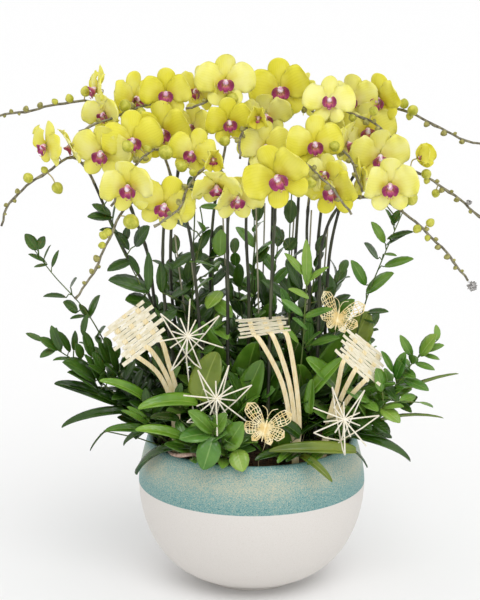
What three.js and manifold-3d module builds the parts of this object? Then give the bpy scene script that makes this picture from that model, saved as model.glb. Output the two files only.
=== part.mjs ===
// Potted moth orchid arrangement: a round bowl planted with fifteen arching flower stems,
// orchid leaves, foliage sprays, woven bamboo fans, rattan stars and two wire butterflies.
// Millimetres, +Z up. The origin is the middle of the pot's flat foot; the front is -Y.

import * as THREE from "three";
import { mergeVertices } from "three/addons/utils/BufferGeometryUtils.js";
import Module from "manifold-3d";

const wasm = await Module();
wasm.setup();

// ---- Driving dimensions ----------------------------------------------------------------

const POT_WIDEST_R = 193;
const POT_WIDEST_Z = 175;
const POT_RIM_R = 177;
const POT_RIM_Z = 252;
const POT_FOOT_R = 80;
const POT_WALL = 9;
const POT_FLOOR = 14;
const POT_FALL = 1.9;
const POT_ROUND = 3.1;
const POT_SIDES = 28;

const MIX_DEPTH = 60;
const MIX_BELOW_RIM = 14;
const MIX_CLEAR = 1.6;
const CROWN_R = 9;
const CROWN_H = 16;

const PLANT_HEIGHT = 832;
const PLANT_SPREAD = 425;
const STEM_R = 3.4;
const STALK_R = 1.3;
const STALK_TURN = 9;
const STEM_STEPS = 12;
const SPRAY_STEPS = 6;
const STAKE_R = 1.6;

const FLOWER_SPAN = 88;
const PETAL_T = 1.4;
const CUP_LEAN = 60;
const TIP_BUD_R = 5.6;
const TIP_FROM = 0.86;
const LEAF_T = 1.8;
const SMALL_LEAF_T = 1.2;
const GRASS_R = 3.5;

const BAMBOO_T = 1.6;
const BAMBOO_W = 7;
const FAN_STRIP_L = 78;
const FAN_STRIPS = 10;
const SLIDES = [-5, 1, 4, -2, 6];
const RATTAN_R = 1.1;
const STAR_RAY = 48;
const STAR_RAYS = 11;
const STAR_HUB_R = 4;
const WING_SPAN = 74;
const WING_T = 1.2;
const BUTTERFLY_R = 2.4;
const WIRE_R = 0.9;
const TWIG_R = 3.2;

const GAP = 0.4;
const CRUMB = 1e-3;

// The planting plan below is drawn for this height and this reach to either side.
const DRAWN_HEIGHT = 832;
const DRAWN_SPREAD = 425;
const GOLDEN_ANGLE = 137.5;

const MOUTH_R = POT_RIM_R - POT_WALL;
const MIX_TOP = POT_RIM_Z - MIX_BELOW_RIM;

// ---- Planting plan ----------------------------------------------------------------------
// foot: where a stem enters the mix, as shares of the pot's mouth radius.
// path: points the stem passes through, [right, back, up].
// flowers: [right, back, up, turn, tilt, roll, size, kind]; turn 0 faces the front and grows
// to the right, tilt is up, size is a share of the flower span.
// buds: large buds [right, back, up, radius]; tipBuds: how many small ones follow to the tip.

const SPIKES = [
  {
    foot: [-0.80, 0.14],
    path: [[-165, 30, 480], [-176, 35, 560], [-210, 35, 660], [-238, 32, 780], [-265, 25, 815],
      [-330, 15, 810], [-380, 5, 800], [-425, 0, 795]],
    flowers: [[-252, 2, 838, -75, 0, 0, 0.95, "open"], [-240, -12, 800, -25, -10, 0, 0.85, "open"]],
    buds: [[-273, 18, 833, 8.5]], tipBuds: 5,
  },
  {
    foot: [-0.86, -0.12],
    path: [[-170, -5, 490], [-210, 0, 565], [-240, 0, 635], [-270, -5, 705], [-292, -15, 730],
      [-330, -25, 710], [-385, -35, 670], [-402, -38, 645], [-410, -40, 620]],
    flowers: [[-332, -48, 752, -50, -5, 0, 0.9, "open"], [-292, -44, 752, -80, -30, 0, 0.8, "open"],
      [-243, -48, 742, -12, -10, 0, 1.12, "open"]],
    buds: [[-318, -32, 682, 9.5], [-364, -38, 699, 8.5]], tipBuds: 4,
  },
  {
    foot: [-0.64, -0.20],
    path: [[-145, -25, 490], [-145, -25, 620], [-133, -30, 700], [-155, -60, 750], [-195, -90, 715],
      [-208, -102, 692], [-225, -110, 665]],
    flowers: [[-193, -52, 762, 5, 0, 0, 1.1, "open"]],
    buds: [[-198, -92, 758, 9.5], [-138, -88, 748, 12]], tipBuds: 4,
  },
  {
    foot: [-0.44, -0.38],
    path: [[-90, -55, 500], [-105, -55, 625], [-125, -65, 680], [-152, -75, 692], [-185, -85, 675],
      [-210, -95, 650], [-238, -105, 592], [-262, -110, 545], [-285, -115, 515]],
    flowers: [[-196, -116, 698, -10, -15, 0, 1.1, "open"], [-140, -114, 668, -5, -15, 18, 1.1, "open"],
      [-104, -92, 660, 75, -20, 0, 0.8, "open"]],
    buds: [[-194, -108, 640, 12.5], [-238, -100, 616, 7]], tipBuds: 5,
  },
  {
    foot: [-0.62, 0.24],
    path: [[-135, 35, 480], [-135, 35, 610], [-122, 35, 720], [-130, 30, 785], [-162, 8, 814],
      [-190, -10, 808], [-215, -20, 800], [-280, -40, 775]],
    flowers: [[-194, 28, 820, 40, 0, 0, 1.0, "open"], [-140, -12, 832, 0, 5, 0, 1.0, "open"],
      [-146, -24, 772, 0, 0, 0, 1.15, "open"], [-98, 6, 776, -30, 10, 0, 0.95, "open"]],
    buds: [[-206, -22, 814, 10], [-180, -24, 804, 8]], tipBuds: 4,
  },
  {
    foot: [-0.30, 0.36],
    path: [[-70, 60, 475], [-65, 60, 620], [-42, 55, 750], [-30, 42, 812], [-50, 15, 832],
      [-80, -12, 816], [-108, -20, 810]],
    flowers: [[-88, 14, 836, -40, -10, 0, 0.9, "open"], [-44, -6, 850, 5, 5, 0, 1.1, "open"]],
    buds: [[-33, -14, 826, 9.5]], tipBuds: 4,
  },
  {
    foot: [-0.24, -0.44],
    path: [[-40, -65, 500], [-40, -65, 625], [-38, -72, 695], [-60, -92, 726], [-85, -110, 720],
      [-100, -120, 700], [-120, -138, 662], [-155, -150, 640]],
    flowers: [[-96, -76, 745, -15, 0, 12, 0.95, "open"], [-63, -118, 742, 10, -5, 0, 0.62, "cup"],
      [-56, -126, 702, -5, -42, 0, 1.05, "open"], [-26, -104, 678, 15, -20, 0, 1.05, "open"]],
    buds: [[-88, -128, 692, 7.5], [-112, -106, 728, 9]], tipBuds: 4,
  },
  {
    foot: [-0.06, -0.15],
    path: [[-5, -20, 490], [-10, -10, 615], [-4, -12, 735], [-5, -35, 778], [-16, -65, 778],
      [-20, -85, 762], [-20, -100, 740]],
    flowers: [[-38, -46, 790, 10, 0, 0, 0.95, "open"], [10, -62, 800, -10, 0, 0, 0.66, "cup"],
      [20, -56, 752, 15, 0, 0, 1.0, "open"]],
    buds: [[-44, -72, 764, 8.5]], tipBuds: 4,
  },
  {
    foot: [0.17, 0.44],
    path: [[35, 80, 470], [35, 85, 600], [40, 80, 730], [52, 62, 792], [80, 38, 805], [135, 5, 783]],
    flowers: [[46, 28, 834, 0, 5, 0, 1.18, "open"], [90, 76, 818, 115, 0, 0, 0.95, "open"],
      [24, 22, 794, -10, -22, 0, 0.95, "open"]],
    buds: [[62, 26, 798, 8]], tipBuds: 4,
  },
  {
    foot: [0.36, 0.12],
    path: [[70, 20, 480], [75, 20, 610], [85, 20, 735], [105, 12, 798], [130, -5, 808],
      [190, -20, 790], [225, -30, 765], [252, -32, 754]],
    flowers: [[124, -24, 820, 0, 28, 0, 0.98, "open"], [116, -14, 776, 0, -10, 0, 0.8, "open"]],
    buds: [[196, -26, 806, 7.5]], tipBuds: 5,
  },
  {
    foot: [0.58, 0.38],
    path: [[110, 65, 470], [115, 70, 600], [135, 65, 730], [168, 55, 790], [205, 44, 808],
      [270, 25, 793], [335, 15, 760], [385, 5, 745]],
    flowers: [[165, 18, 820, -22, 0, 0, 0.98, "open"], [208, 14, 820, -25, -5, 0, 1.0, "open"]],
    buds: [[250, 26, 812, 8], [264, 20, 802, 9]], tipBuds: 4,
  },
  {
    foot: [0.49, -0.18],
    path: [[95, -30, 495], [90, -25, 620], [100, -25, 700], [118, -35, 740], [142, -60, 750],
      [160, -80, 728], [175, -95, 685]],
    flowers: [[100, -68, 757, 0, 5, 0, 1.08, "open"], [152, -28, 754, 60, -10, 0, 0.9, "open"]],
    buds: [[131, -74, 756, 8.5], [96, -72, 728, 10]], tipBuds: 4,
  },
  {
    foot: [0.74, 0.06],
    path: [[125, 10, 485], [135, 15, 595], [165, 10, 690], [200, 0, 727], [240, -20, 718],
      [300, -35, 690], [355, -45, 650], [385, -52, 625]],
    flowers: [[190, 12, 770, 0, -5, 0, 1.1, "open"], [206, -42, 735, 5, -15, 0, 1.1, "open"],
      [268, -34, 730, 62, 20, 0, 0.7, "cup"]],
    buds: [[282, -42, 706, 8.5], [300, -26, 672, 7]], tipBuds: 4,
  },
  {
    foot: [0.62, -0.38],
    path: [[110, -60, 500], [112, -60, 585], [130, -65, 643], [155, -75, 670], [190, -85, 675],
      [225, -95, 664], [280, -105, 620], [320, -110, 578], [345, -115, 545]],
    flowers: [[216, -122, 700, 0, -5, 0, 1.1, "open"], [176, -56, 698, 100, 0, 0, 0.85, "open"]],
    buds: [[252, -108, 676, 10], [284, -98, 636, 7]], tipBuds: 5,
  },
  {
    foot: [0.15, -0.54],
    path: [[30, -85, 505], [35, -85, 620], [42, -90, 698], [62, -102, 732], [88, -116, 730],
      [108, -130, 714], [135, -140, 686], [155, -145, 658]],
    flowers: [[40, -152, 718, -10, -5, -22, 1.22, "open"], [84, -90, 702, -30, -10, 0, 0.8, "open"],
      [116, -100, 716, -20, 10, 0, 0.75, "open"], [128, -106, 690, -25, -5, 0, 1.08, "open"]],
    buds: [[92, -126, 706, 9]], tipBuds: 4,
  },
];

// leaves: [turn, rise, droop, length, width] for each strap leaf of an orchid plant.
const CROWNS = [
  { foot: [-0.72, -0.34], leaves: [[-62, 40, -75, 175, 26], [-84, 34, -60, 190, 24],
    [-40, 30, -70, 130, 30], [-110, 58, -60, 160, 46],
    [-30, 78, -30, 195, 50]] },
  { foot: [-0.60, 0.30], leaves: [[-78, 66, -40, 170, 46], [-120, 45, -70, 180, 44],
    [-150, 35, -75, 170, 42], [-50, 72, -25, 150, 44],
    [-66, 82, -14, 236, 46]] },
  { foot: [-0.34, -0.62], leaves: [[-56, 22, -55, 120, 26], [-18, 20, -75, 100, 30],
    [-72, 48, -78, 150, 30], [20, 62, -60, 110, 46],
    [-44, 80, -44, 185, 52]] },
  { foot: [-0.16, -0.16], leaves: [[-40, 60, -55, 150, 54], [12, 66, -60, 140, 50],
    [-95, 70, -50, 150, 46],
    [-60, 82, -20, 225, 52], [34, 80, -28, 205, 52]] },
  { foot: [0.12, 0.34], leaves: [[170, 55, -70, 180, 50], [-170, 42, -70, 170, 46],
    [60, 70, -40, 170, 46], [-60, 72, -35, 160, 44],
    [10, 84, -14, 240, 48]] },
  { foot: [0.30, -0.62], leaves: [[62, 18, -40, 130, 32], [30, 34, -95, 100, 20],
    [84, 52, -60, 150, 40], [-14, 55, -75, 100, 44],
    [8, 80, -40, 185, 50]] },
  { foot: [0.56, -0.10], leaves: [[36, 64, -55, 150, 54], [80, 66, -45, 175, 56],
    [-20, 68, -50, 140, 46],
    [54, 80, -26, 225, 56], [-34, 82, -20, 210, 48]] },
  { foot: [0.66, 0.34], leaves: [[100, 45, -75, 175, 44], [140, 40, -75, 170, 42],
    [64, 64, -50, 170, 48],
    [70, 80, -30, 215, 50]] },
  { foot: [0.78, -0.30], leaves: [[72, 34, -70, 165, 26], [48, 24, -60, 130, 24],
    [62, 72, -54, 190, 46]] },
];

// Leafy twigs: path as for the flower stems; leaf gives length and width.
const SPRAYS = [
  { name: "ruscus_left", foot: [-0.90, 0.02], tint: 0x2f5a20, r: 1.6, from: 0.40, count: 8,
    path: [[-205, 0, 330], [-275, -20, 470], [-330, -20, 535], [-362, -20, 580]], leaf: [36, 15] },
  { name: "ruscus_left_low", foot: [-0.86, -0.26], tint: 0x24501a, r: 1.8, from: 0.35, count: 8,
    path: [[-205, -50, 315], [-285, -62, 392], [-345, -62, 432]], leaf: [50, 17] },
  { name: "ruscus_left_inner", foot: [-0.82, -0.06], tint: 0x24501a, r: 1.8, from: 0.35, count: 7,
    path: [[-190, -25, 330], [-245, -48, 395], [-280, -52, 440]], leaf: [52, 19] },
  { name: "ruscus_left_tall", foot: [-0.70, -0.34], tint: 0x1f4216, r: 1.6, from: 0.45, count: 7,
    path: [[-155, -50, 440], [-180, -50, 515], [-215, -55, 590], [-242, -60, 655]], leaf: [46, 18] },
  { name: "foliage_mid_left", foot: [-0.48, -0.02], tint: 0x234f1a, r: 2.0, from: 0.40, count: 6,
    path: [[-100, -5, 430], [-95, -15, 540], [-80, -20, 610]], leaf: [58, 28] },
  { name: "foliage_tall_left", foot: [-0.46, 0.16], tint: 0x1c3f14, r: 2.0, from: 0.50, count: 6,
    path: [[-100, 12, 500], [-95, 5, 640], [-98, -18, 735]], leaf: [58, 28] },
  { name: "foliage_tall_mid", foot: [0.04, 0.22], tint: 0x1c3f14, r: 2.0, from: 0.42, count: 7,
    path: [[0, 28, 500], [10, 22, 640], [12, 12, 745]], leaf: [60, 28] },
  { name: "foliage_tall_right", foot: [0.38, -0.08], tint: 0x1e4616, r: 2.0, from: 0.42, count: 6,
    path: [[62, -10, 470], [62, -12, 600], [66, -12, 690]], leaf: [60, 28] },
  { name: "new_shoot", foot: [0.40, -0.46], tint: 0x6ea63a, r: 1.8, from: 0.40, count: 6,
    path: [[82, -88, 425], [86, -92, 510], [90, -92, 575]], leaf: [56, 15] },
  { name: "ruscus_right", foot: [0.86, -0.06], tint: 0x3d7a28, r: 1.7, from: 0.40, count: 7,
    path: [[165, -30, 390], [188, -40, 495], [208, -40, 550], [246, -40, 645]], leaf: [46, 20] },
  { name: "ruscus_right_low", foot: [0.84, -0.40], tint: 0x5a9a32, r: 1.8, from: 0.30, count: 8,
    path: [[215, -88, 335], [258, -92, 398], [302, -92, 442]], leaf: [44, 21] },
  { name: "ruscus_right_front", foot: [0.66, -0.56], tint: 0x2f6a20, r: 1.8, from: 0.30, count: 6,
    path: [[185, -112, 315], [232, -122, 345], [272, -124, 345]], leaf: [48, 22] },
  { name: "rosette_front", foot: [-0.40, -0.80], tint: 0x4c9430, r: 2.0, from: 0.30, count: 6,
    path: [[-70, -150, 272], [-66, -166, 296], [-60, -176, 318]], leaf: [50, 32] },
  { name: "foliage_back_left", foot: [-0.42, 0.70], tint: 0x24501a, r: 2.0, from: 0.35, count: 6,
    path: [[-105, 150, 400], [-145, 175, 500]], leaf: [58, 27] },
  { name: "foliage_back_right", foot: [0.44, 0.70], tint: 0x24501a, r: 2.0, from: 0.35, count: 6,
    path: [[105, 150, 400], [150, 175, 490]], leaf: [58, 27] },
];

// Long thin blades: [turn, rise, droop, length, width].
const GRASS = [
  { name: "grass_right", foot: [0.92, -0.22], leaves: [[74, 56, -42, 238, 8], [66, 44, -48, 190, 7]] },
  { name: "grass_left", foot: [-0.93, -0.14], leaves: [[-72, 28, -96, 120, 6], [-96, 22, -60, 110, 7]] },
];

// Woven fans: middle of the head, the way its strips run, the way it looks, and its foot.
const FANS = [
  { head: [-190, -92, 455], along: [0.80, 0.00, 0.60], face: [0.10, -0.90, 0.42],
    foot: [-0.76, -0.46], knot: [-128, -78, 335] },
  { head: [22, -112, 470], along: [0.98, 0.10, 0.10], face: [-0.10, -0.16, 0.98],
    foot: [0.42, -0.72], knot: [70, -124, 300] },
  { head: [178, -112, 418], along: [0.76, 0.00, -0.65], face: [0.20, -0.92, 0.34],
    foot: [0.70, -0.58], knot: [128, -112, 300] },
];

const STARS = [
  { centre: [-104, -122, 455], turn: 10, tilt: 12, spin: 8, foot: [-0.52, -0.56] },
  { centre: [-58, -160, 362], turn: 4, tilt: 22, spin: 20, foot: [-0.30, -0.74] },
  { centre: [146, -176, 332], turn: 12, tilt: 26, spin: 38, foot: [0.60, -0.68] },
];

const BUTTERFLIES = [
  { centre: [20, -176, 318], turn: 0, tilt: 30, spin: -8, foot: [0.06, -0.86] },
  { centre: [140, -64, 472], turn: 20, tilt: 35, spin: 24, foot: [0.50, -0.30] },
];

// Slim supports that the flower stems are tied to: foot, then the top.
const STAKES = [
  { foot: [-0.52, -0.06], top: [-128, -8, 600] },
  { foot: [-0.34, -0.26], top: [-100, -34, 560] },
  { foot: [-0.20, 0.26], top: [-52, 44, 700] },
  { foot: [0.10, -0.06], top: [6, 0, 660] },
  { foot: [0.08, 0.28], top: [22, 62, 640] },
  { foot: [0.30, 0.30], top: [72, 46, 640] },
  { foot: [0.50, 0.06], top: [98, -4, 640] },
  { foot: [0.62, 0.22], top: [128, 38, 610] },
];

const ROOT_TWIG = { from: [-0.86, -0.30], path: [[-120, -146, 262], [-92, -156, 266]], to: [-0.34, -0.92] };

// ---- Solids -----------------------------------------------------------------------------

const rad = THREE.MathUtils.degToRad;
const vec = (p) => new THREE.Vector3(p[0], p[1], p[2]);

function planted([right, back, up]) {
  const wide = PLANT_SPREAD / DRAWN_SPREAD;
  const tall = (PLANT_HEIGHT - MIX_TOP) / (DRAWN_HEIGHT - MIX_TOP);
  return new THREE.Vector3(right * wide, back * wide, MIX_TOP + (up - MIX_TOP) * tall);
}

// A point above a planting hole; the mix's face is level, so every foot is cut level too.
function above([right, back], height = GAP) {
  return new THREE.Vector3(right * MOUTH_R, back * MOUTH_R, MIX_TOP + height);
}

// Unit vector of a turn (0 = front, growing to the right) and a rise above the level.
function heading(turn, rise) {
  const t = rad(turn);
  const e = rad(rise);
  return new THREE.Vector3(Math.sin(t) * Math.cos(e), -Math.cos(t) * Math.cos(e), Math.sin(e));
}

function frame(origin, x, z) {
  const ax = x.clone().normalize();
  const ay = z.clone().cross(ax).normalize();
  const az = ax.clone().cross(ay);
  return new THREE.Matrix4().makeBasis(ax, ay, az).setPosition(origin);
}

function solid(geometry) {
  const shape = geometry.clone();
  for (const extra of ["normal", "uv"]) {
    shape.deleteAttribute(extra);
  }
  const merged = mergeVertices(shape, 1e-4);
  const at = merged.getAttribute("position").array;
  const index = Array.from(merged.getIndex().array);
  const faces = [];
  for (let i = 0; i < index.length; i += 3) {
    const [a, b, c] = index.slice(i, i + 3);
    if (a !== b && b !== c && c !== a) {
      faces.push(a, b, c);
    }
  }
  if (signedVolume(at, faces) < 0) {
    faces.reverse();
  }
  const mesh = new wasm.Mesh({
    numProp: 3,
    vertProperties: Float32Array.from(at),
    triVerts: Uint32Array.from(faces),
  });
  return new wasm.Manifold(mesh);
}

function signedVolume(at, faces) {
  let sum = 0;
  for (let i = 0; i < faces.length; i += 3) {
    const [a, b, c] = [faces[i] * 3, faces[i + 1] * 3, faces[i + 2] * 3];
    sum += at[a] * (at[b + 1] * at[c + 2] - at[b + 2] * at[c + 1])
      - at[a + 1] * (at[b] * at[c + 2] - at[b + 2] * at[c])
      + at[a + 2] * (at[b] * at[c + 1] - at[b + 1] * at[c]);
  }
  return sum / 6;
}

// Every piece is a function of "grow": 0 gives the piece, GAP gives the room it needs.
const pieceFrom = (make) => (grow) => solid(make(grow));

function tube(points, r, sides, steps) {
  return pieceFrom((grow) => {
    const section = new THREE.Shape();
    for (let i = 0; i < sides; i += 1) {
      const a = (i / sides) * 2 * Math.PI;
      const p = [(r + grow) * Math.cos(a), (r + grow) * Math.sin(a)];
      if (i === 0) {
        section.moveTo(p[0], p[1]);
      } else {
        section.lineTo(p[0], p[1]);
      }
    }
    section.closePath();
    const path = new THREE.CatmullRomCurve3(points, false, "centripetal");
    return new THREE.ExtrudeGeometry(section, { steps, extrudePath: path, bevelEnabled: false });
  });
}

function ball(centre, r, sides = 4, rings = 3) {
  return pieceFrom((grow) => {
    const shape = new THREE.SphereGeometry(r + grow, sides, rings);
    return shape.translate(centre.x, centre.y, centre.z);
  });
}

// A flat outline, given some thickness and laid in place.
function plate(at, outline, thickness) {
  return pieceFrom((grow) => {
    const depth = thickness + 2 * grow;
    const shape = new THREE.Shape(outset(outline, grow));
    const body = new THREE.ExtrudeGeometry(shape, { depth, bevelEnabled: false });
    return body.translate(0, 0, -depth / 2).applyMatrix4(at);
  });
}

// An outline fanned out from its middle, leaning forward like the side of a shallow cup.
function cup(at, outline, thickness, lean) {
  return pieceFrom((grow) => {
    const n = outline.length;
    const rim = outset(outline, grow);
    const body = new THREE.CylinderGeometry(1, 1, thickness + 2 * grow, n, 1).rotateX(Math.PI / 2);
    const p = body.getAttribute("position");
    for (let i = 0; i < p.count; i += 1) {
      const far = Math.hypot(p.getX(i), p.getY(i));
      const k = Math.round((Math.atan2(p.getX(i), -p.getY(i)) / (2 * Math.PI)) * n);
      const corner = far < 0.5 ? new THREE.Vector2() : rim[(k + n) % n].clone();
      const out = corner.length();
      const flat = corner.multiplyScalar(Math.cos(lean));
      p.setXYZ(i, flat.x, flat.y, p.getZ(i) + out * Math.sin(lean));
    }
    return body.applyMatrix4(at);
  });
}

// Moves each corner of a counter-clockwise outline outwards, its sides staying parallel.
function outset(outline, distance) {
  const n = outline.length;
  return outline.map(([x, y], i) => {
    const [px, py] = outline[(i + n - 1) % n];
    const [nx, ny] = outline[(i + 1) % n];
    const before = new THREE.Vector2(y - py, px - x).normalize();
    const after = new THREE.Vector2(ny - y, x - nx).normalize();
    const mitre = before.add(after);
    const reach = (2 * distance) / Math.max(mitre.lengthSq(), 0.5);
    return new THREE.Vector2(x + mitre.x * reach, y + mitre.y * reach);
  });
}

// A leaf, petal or slat: it runs along +X from the origin, bends evenly by "bend" degrees
// towards +Z, and its widths are spread evenly along its length.
function blade(at, length, widths, thickness, bend) {
  return pieceFrom((grow) => {
    const bays = widths.length - 1;
    const shape = new THREE.BoxGeometry(1, 1, 1, bays, 1, 1);
    const p = shape.getAttribute("position");
    const turn = rad(bend);
    for (let i = 0; i < p.count; i += 1) {
      const u = p.getX(i) + 0.5;
      const bay = Math.min(Math.floor(u * bays + 1e-6), bays - 1);
      const share = u * bays - bay;
      const width = widths[bay] * (1 - share) + widths[bay + 1] * share + 2 * grow;
      const run = u * (length + 2 * grow) - grow;
      const angle = (turn * run) / length;
      const chord = Math.abs(turn) < 1e-6 ? [run, 0]
        : [(length / turn) * Math.sin(angle), (length / turn) * (1 - Math.cos(angle))];
      const lift = p.getZ(i) * (thickness + 2 * grow);
      const x = chord[0] - lift * Math.sin(angle);
      const z = chord[1] + lift * Math.cos(angle);
      p.setXYZ(i, x, p.getY(i) * width, z);
    }
    return shape.applyMatrix4(at);
  });
}

// ---- Living parts -----------------------------------------------------------------------

const STRAP = [0.3, 1.0, 0];
const OVATE = [0, 1.0, 0];
const GRASS_BLADE = [0.8, 1.0, 0];

// Half of a flower's outline from the top sepal round to the bottom notch: angle, reach.
const FLOWER_OUTLINE = [[0, 1.0], [29, 0.52], [52, 1.0], [92, 0.95], [108, 0.45], [140, 0.95],
  [180, 0.42]];

function leafAt(base, [turn, rise, droop, length, width], shares, thickness) {
  const run = heading(turn, rise);
  const up = heading(turn, rise + 90);
  return blade(frame(base, run, up), length, shares.map((s) => s * width), thickness, droop);
}

// A stem's spine: the straight runs that its tube is made of.
function spine(points, steps) {
  return new THREE.CatmullRomCurve3(points, false, "centripetal").getSpacedPoints(steps);
}

function nearestOn(line, point) {
  const runs = line.slice(1).map((end, i) => new THREE.Line3(line[i], end));
  const spots = runs.map((run) => run.closestPointToPoint(point, true, new THREE.Vector3()));
  return spots.reduce((best, p) => (p.distanceTo(point) < best.distanceTo(point) ? p : best));
}

function spotOn(line, share) {
  const place = share * (line.length - 1);
  const i = Math.min(Math.floor(place), line.length - 2);
  return {
    at: line[i].clone().lerp(line[i + 1], place - i),
    along: line[i + 1].clone().sub(line[i]).normalize(),
  };
}

// A flower's own stalk comes round behind it and into its middle.
function flowerStalk(line, centre, face) {
  const behind = centre.clone().addScaledVector(face, -STALK_TURN);
  const from = nearestOn(line, behind.clone().add(new THREE.Vector3(0, 0, -STALK_TURN)));
  return tube([from, behind, centre], STALK_R, 3, 2);
}

function budStalk(line, centre) {
  return tube([nearestOn(line, centre), centre], STALK_R, 3, 1);
}

function flowerOutline(span) {
  const half = FLOWER_OUTLINE.map(([angle, reach]) => [rad(angle), reach * span]);
  const rest = half.slice(1, -1).reverse().map(([angle, reach]) => [-angle, reach]);
  return [...half, ...rest].reverse()
    .map(([angle, reach]) => [reach * Math.sin(angle), reach * Math.cos(angle)]);
}

function flower(line, [right, back, up, turn, tilt, roll, size, kind]) {
  const centre = planted([right, back, up]);
  const face = heading(turn, tilt);
  const upright = heading(turn, tilt + 90).applyAxisAngle(face, rad(-roll));
  const span = (FLOWER_SPAN / 2) * size;
  const at = frame(centre, upright.clone().cross(face), face);
  const fall = kind === "cup" ? 0.1 : 0.9;
  const lipRun = face.clone().addScaledVector(upright, -fall);
  const lipTop = upright.clone().addScaledVector(face, fall);
  const throat = centre.clone().addScaledVector(face, -2)
    .addScaledVector(upright, kind === "cup" ? 0 : -3 * STALK_R);
  const lipAt = frame(throat, lipRun, lipTop);
  const lipWidths = [0, span * 0.42, 0];
  return {
    core: [flowerStalk(line, centre, face)],
    skin: [
      kind === "cup" ? cup(at, flowerOutline(span), PETAL_T, rad(CUP_LEAN))
        : plate(at, flowerOutline(span), PETAL_T),
      blade(lipAt, span * 0.46, lipWidths, PETAL_T * 2, 20),
    ],
  };
}

function spike(plan) {
  const points = [above(plan.foot), above(plan.foot, 25), ...plan.path.map(planted)];
  const line = spine(points, STEM_STEPS);
  const core = [tube(points, STEM_R, 3, STEM_STEPS)];
  const skin = [];
  for (const one of plan.flowers) {
    const made = flower(line, one);
    core.push(...made.core);
    skin.push(...made.skin);
  }
  for (const [right, back, up, r] of plan.buds) {
    const centre = planted([right, back, up]);
    core.push(budStalk(line, centre), ball(centre, r, 5, 3));
  }
  for (let i = 0; i < plan.tipBuds; i += 1) {
    const share = i / plan.tipBuds;
    const spot = TIP_FROM + (0.99 - TIP_FROM) * share;
    const { at, along } = spotOn(line, spot);
    const across = along.cross(heading(0, 0)).normalize().multiplyScalar(i % 2 ? -1 : 1);
    const r = TIP_BUD_R * (1 - 0.6 * share);
    core.push(ball(at.addScaledVector(across, r * 0.9), r, 4, 2));
  }
  return { core, skin };
}

function crown(plan) {
  const neck = above(plan.foot, CROWN_H);
  return {
    core: [tube([above(plan.foot), neck], CROWN_R, 5, 1)],
    skin: plan.leaves.map((leaf) => {
      const base = above(plan.foot, CROWN_H - 4).addScaledVector(heading(leaf[0], 0), CROWN_R * 0.6);
      return leafAt(base, leaf, STRAP, LEAF_T);
    }),
  };
}

function spray(plan) {
  const points = [above(plan.foot), above(plan.foot, 15), ...plan.path.map(planted)];
  const line = spine(points, SPRAY_STEPS);
  const core = [tube(points, plan.r, 3, SPRAY_STEPS)];
  const skin = [];
  for (let i = 0; i < plan.count; i += 1) {
    const share = i / (plan.count - 1);
    const { at, along } = spotOn(line, plan.from + (0.985 - plan.from) * share);
    const run = heading(GOLDEN_ANGLE * i, 0).addScaledVector(along, 0.55 + share).normalize();
    const up = along.clone().addScaledVector(run, -along.dot(run)).normalize();
    const size = 1 - 0.35 * share * share;
    const widths = OVATE.map((s) => s * plan.leaf[1] * size);
    skin.push(blade(frame(at, run, up), plan.leaf[0] * size, widths, SMALL_LEAF_T, -22));
  }
  return { core, skin };
}

function grass(plan) {
  return {
    core: [tube([above(plan.foot), above(plan.foot, CROWN_H)], GRASS_R, 4, 1)],
    skin: plan.leaves.map((leaf) => leafAt(above(plan.foot, CROWN_H - 2), leaf, GRASS_BLADE, SMALL_LEAF_T)),
  };
}

// ---- Ornaments --------------------------------------------------------------------------

// A fan's head: strips side by side, each slid a little along its neighbour.
function fanOutline() {
  const left = [];
  const right = [];
  for (let i = 0; i < FAN_STRIPS; i += 1) {
    const low = (i - FAN_STRIPS / 2) * BAMBOO_W;
    const slide = SLIDES[i % SLIDES.length];
    right.push([FAN_STRIP_L / 2 + slide, low], [FAN_STRIP_L / 2 + slide, low + BAMBOO_W]);
    left.push([slide - FAN_STRIP_L / 2, low], [slide - FAN_STRIP_L / 2, low + BAMBOO_W]);
  }
  return [...right, ...left.reverse()];
}

function fan(plan) {
  const head = planted(plan.head);
  const along = vec(plan.along).normalize();
  const at = frame(head, along, vec(plan.face));
  const up = new THREE.Vector3().setFromMatrixColumn(at, 1);
  const knot = planted(plan.knot);
  const legs = [-1, 0, 1].map((side) => {
    const top = head.clone().addScaledVector(along, side * FAN_STRIP_L * 0.3)
      .addScaledVector(up, -BAMBOO_W * (FAN_STRIPS * 0.5 - 0.6));
    const leave = top.clone().addScaledVector(up, -BAMBOO_W * 2.2);
    const near = knot.clone().addScaledVector(along, side * BAMBOO_W * 0.4);
    return tube([top, leave, near, above(plan.foot, 12), above(plan.foot)], BAMBOO_W * 0.36, 3, 5);
  });
  return { core: [plate(at, fanOutline(), BAMBOO_T), ...legs], skin: [] };
}

function star(plan) {
  const centre = planted(plan.centre);
  const face = heading(plan.turn, plan.tilt);
  const up = heading(plan.turn, plan.tilt + 90);
  const side = up.clone().cross(face);
  const core = [ball(centre, STAR_HUB_R)];
  for (let i = 0; i < STAR_RAYS; i += 1) {
    const a = rad(plan.spin + (360 * i) / STAR_RAYS);
    const out = up.clone().multiplyScalar(Math.cos(a)).addScaledVector(side, Math.sin(a))
      .addScaledVector(face, ((i % 3) - 1) * 0.22).normalize();
    const tip = centre.clone().addScaledVector(out, STAR_RAY * (i % 2 ? 0.72 : 1));
    core.push(tube([centre.clone().addScaledVector(out, STAR_HUB_R * 0.6), tip], RATTAN_R, 3, 1));
  }
  const behind = centre.clone().addScaledVector(face, -18).add(new THREE.Vector3(0, 0, -34));
  core.push(tube([centre, behind, above(plan.foot, 12), above(plan.foot)], RATTAN_R * 1.3, 4, 6));
  return { core, skin: [] };
}

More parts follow.
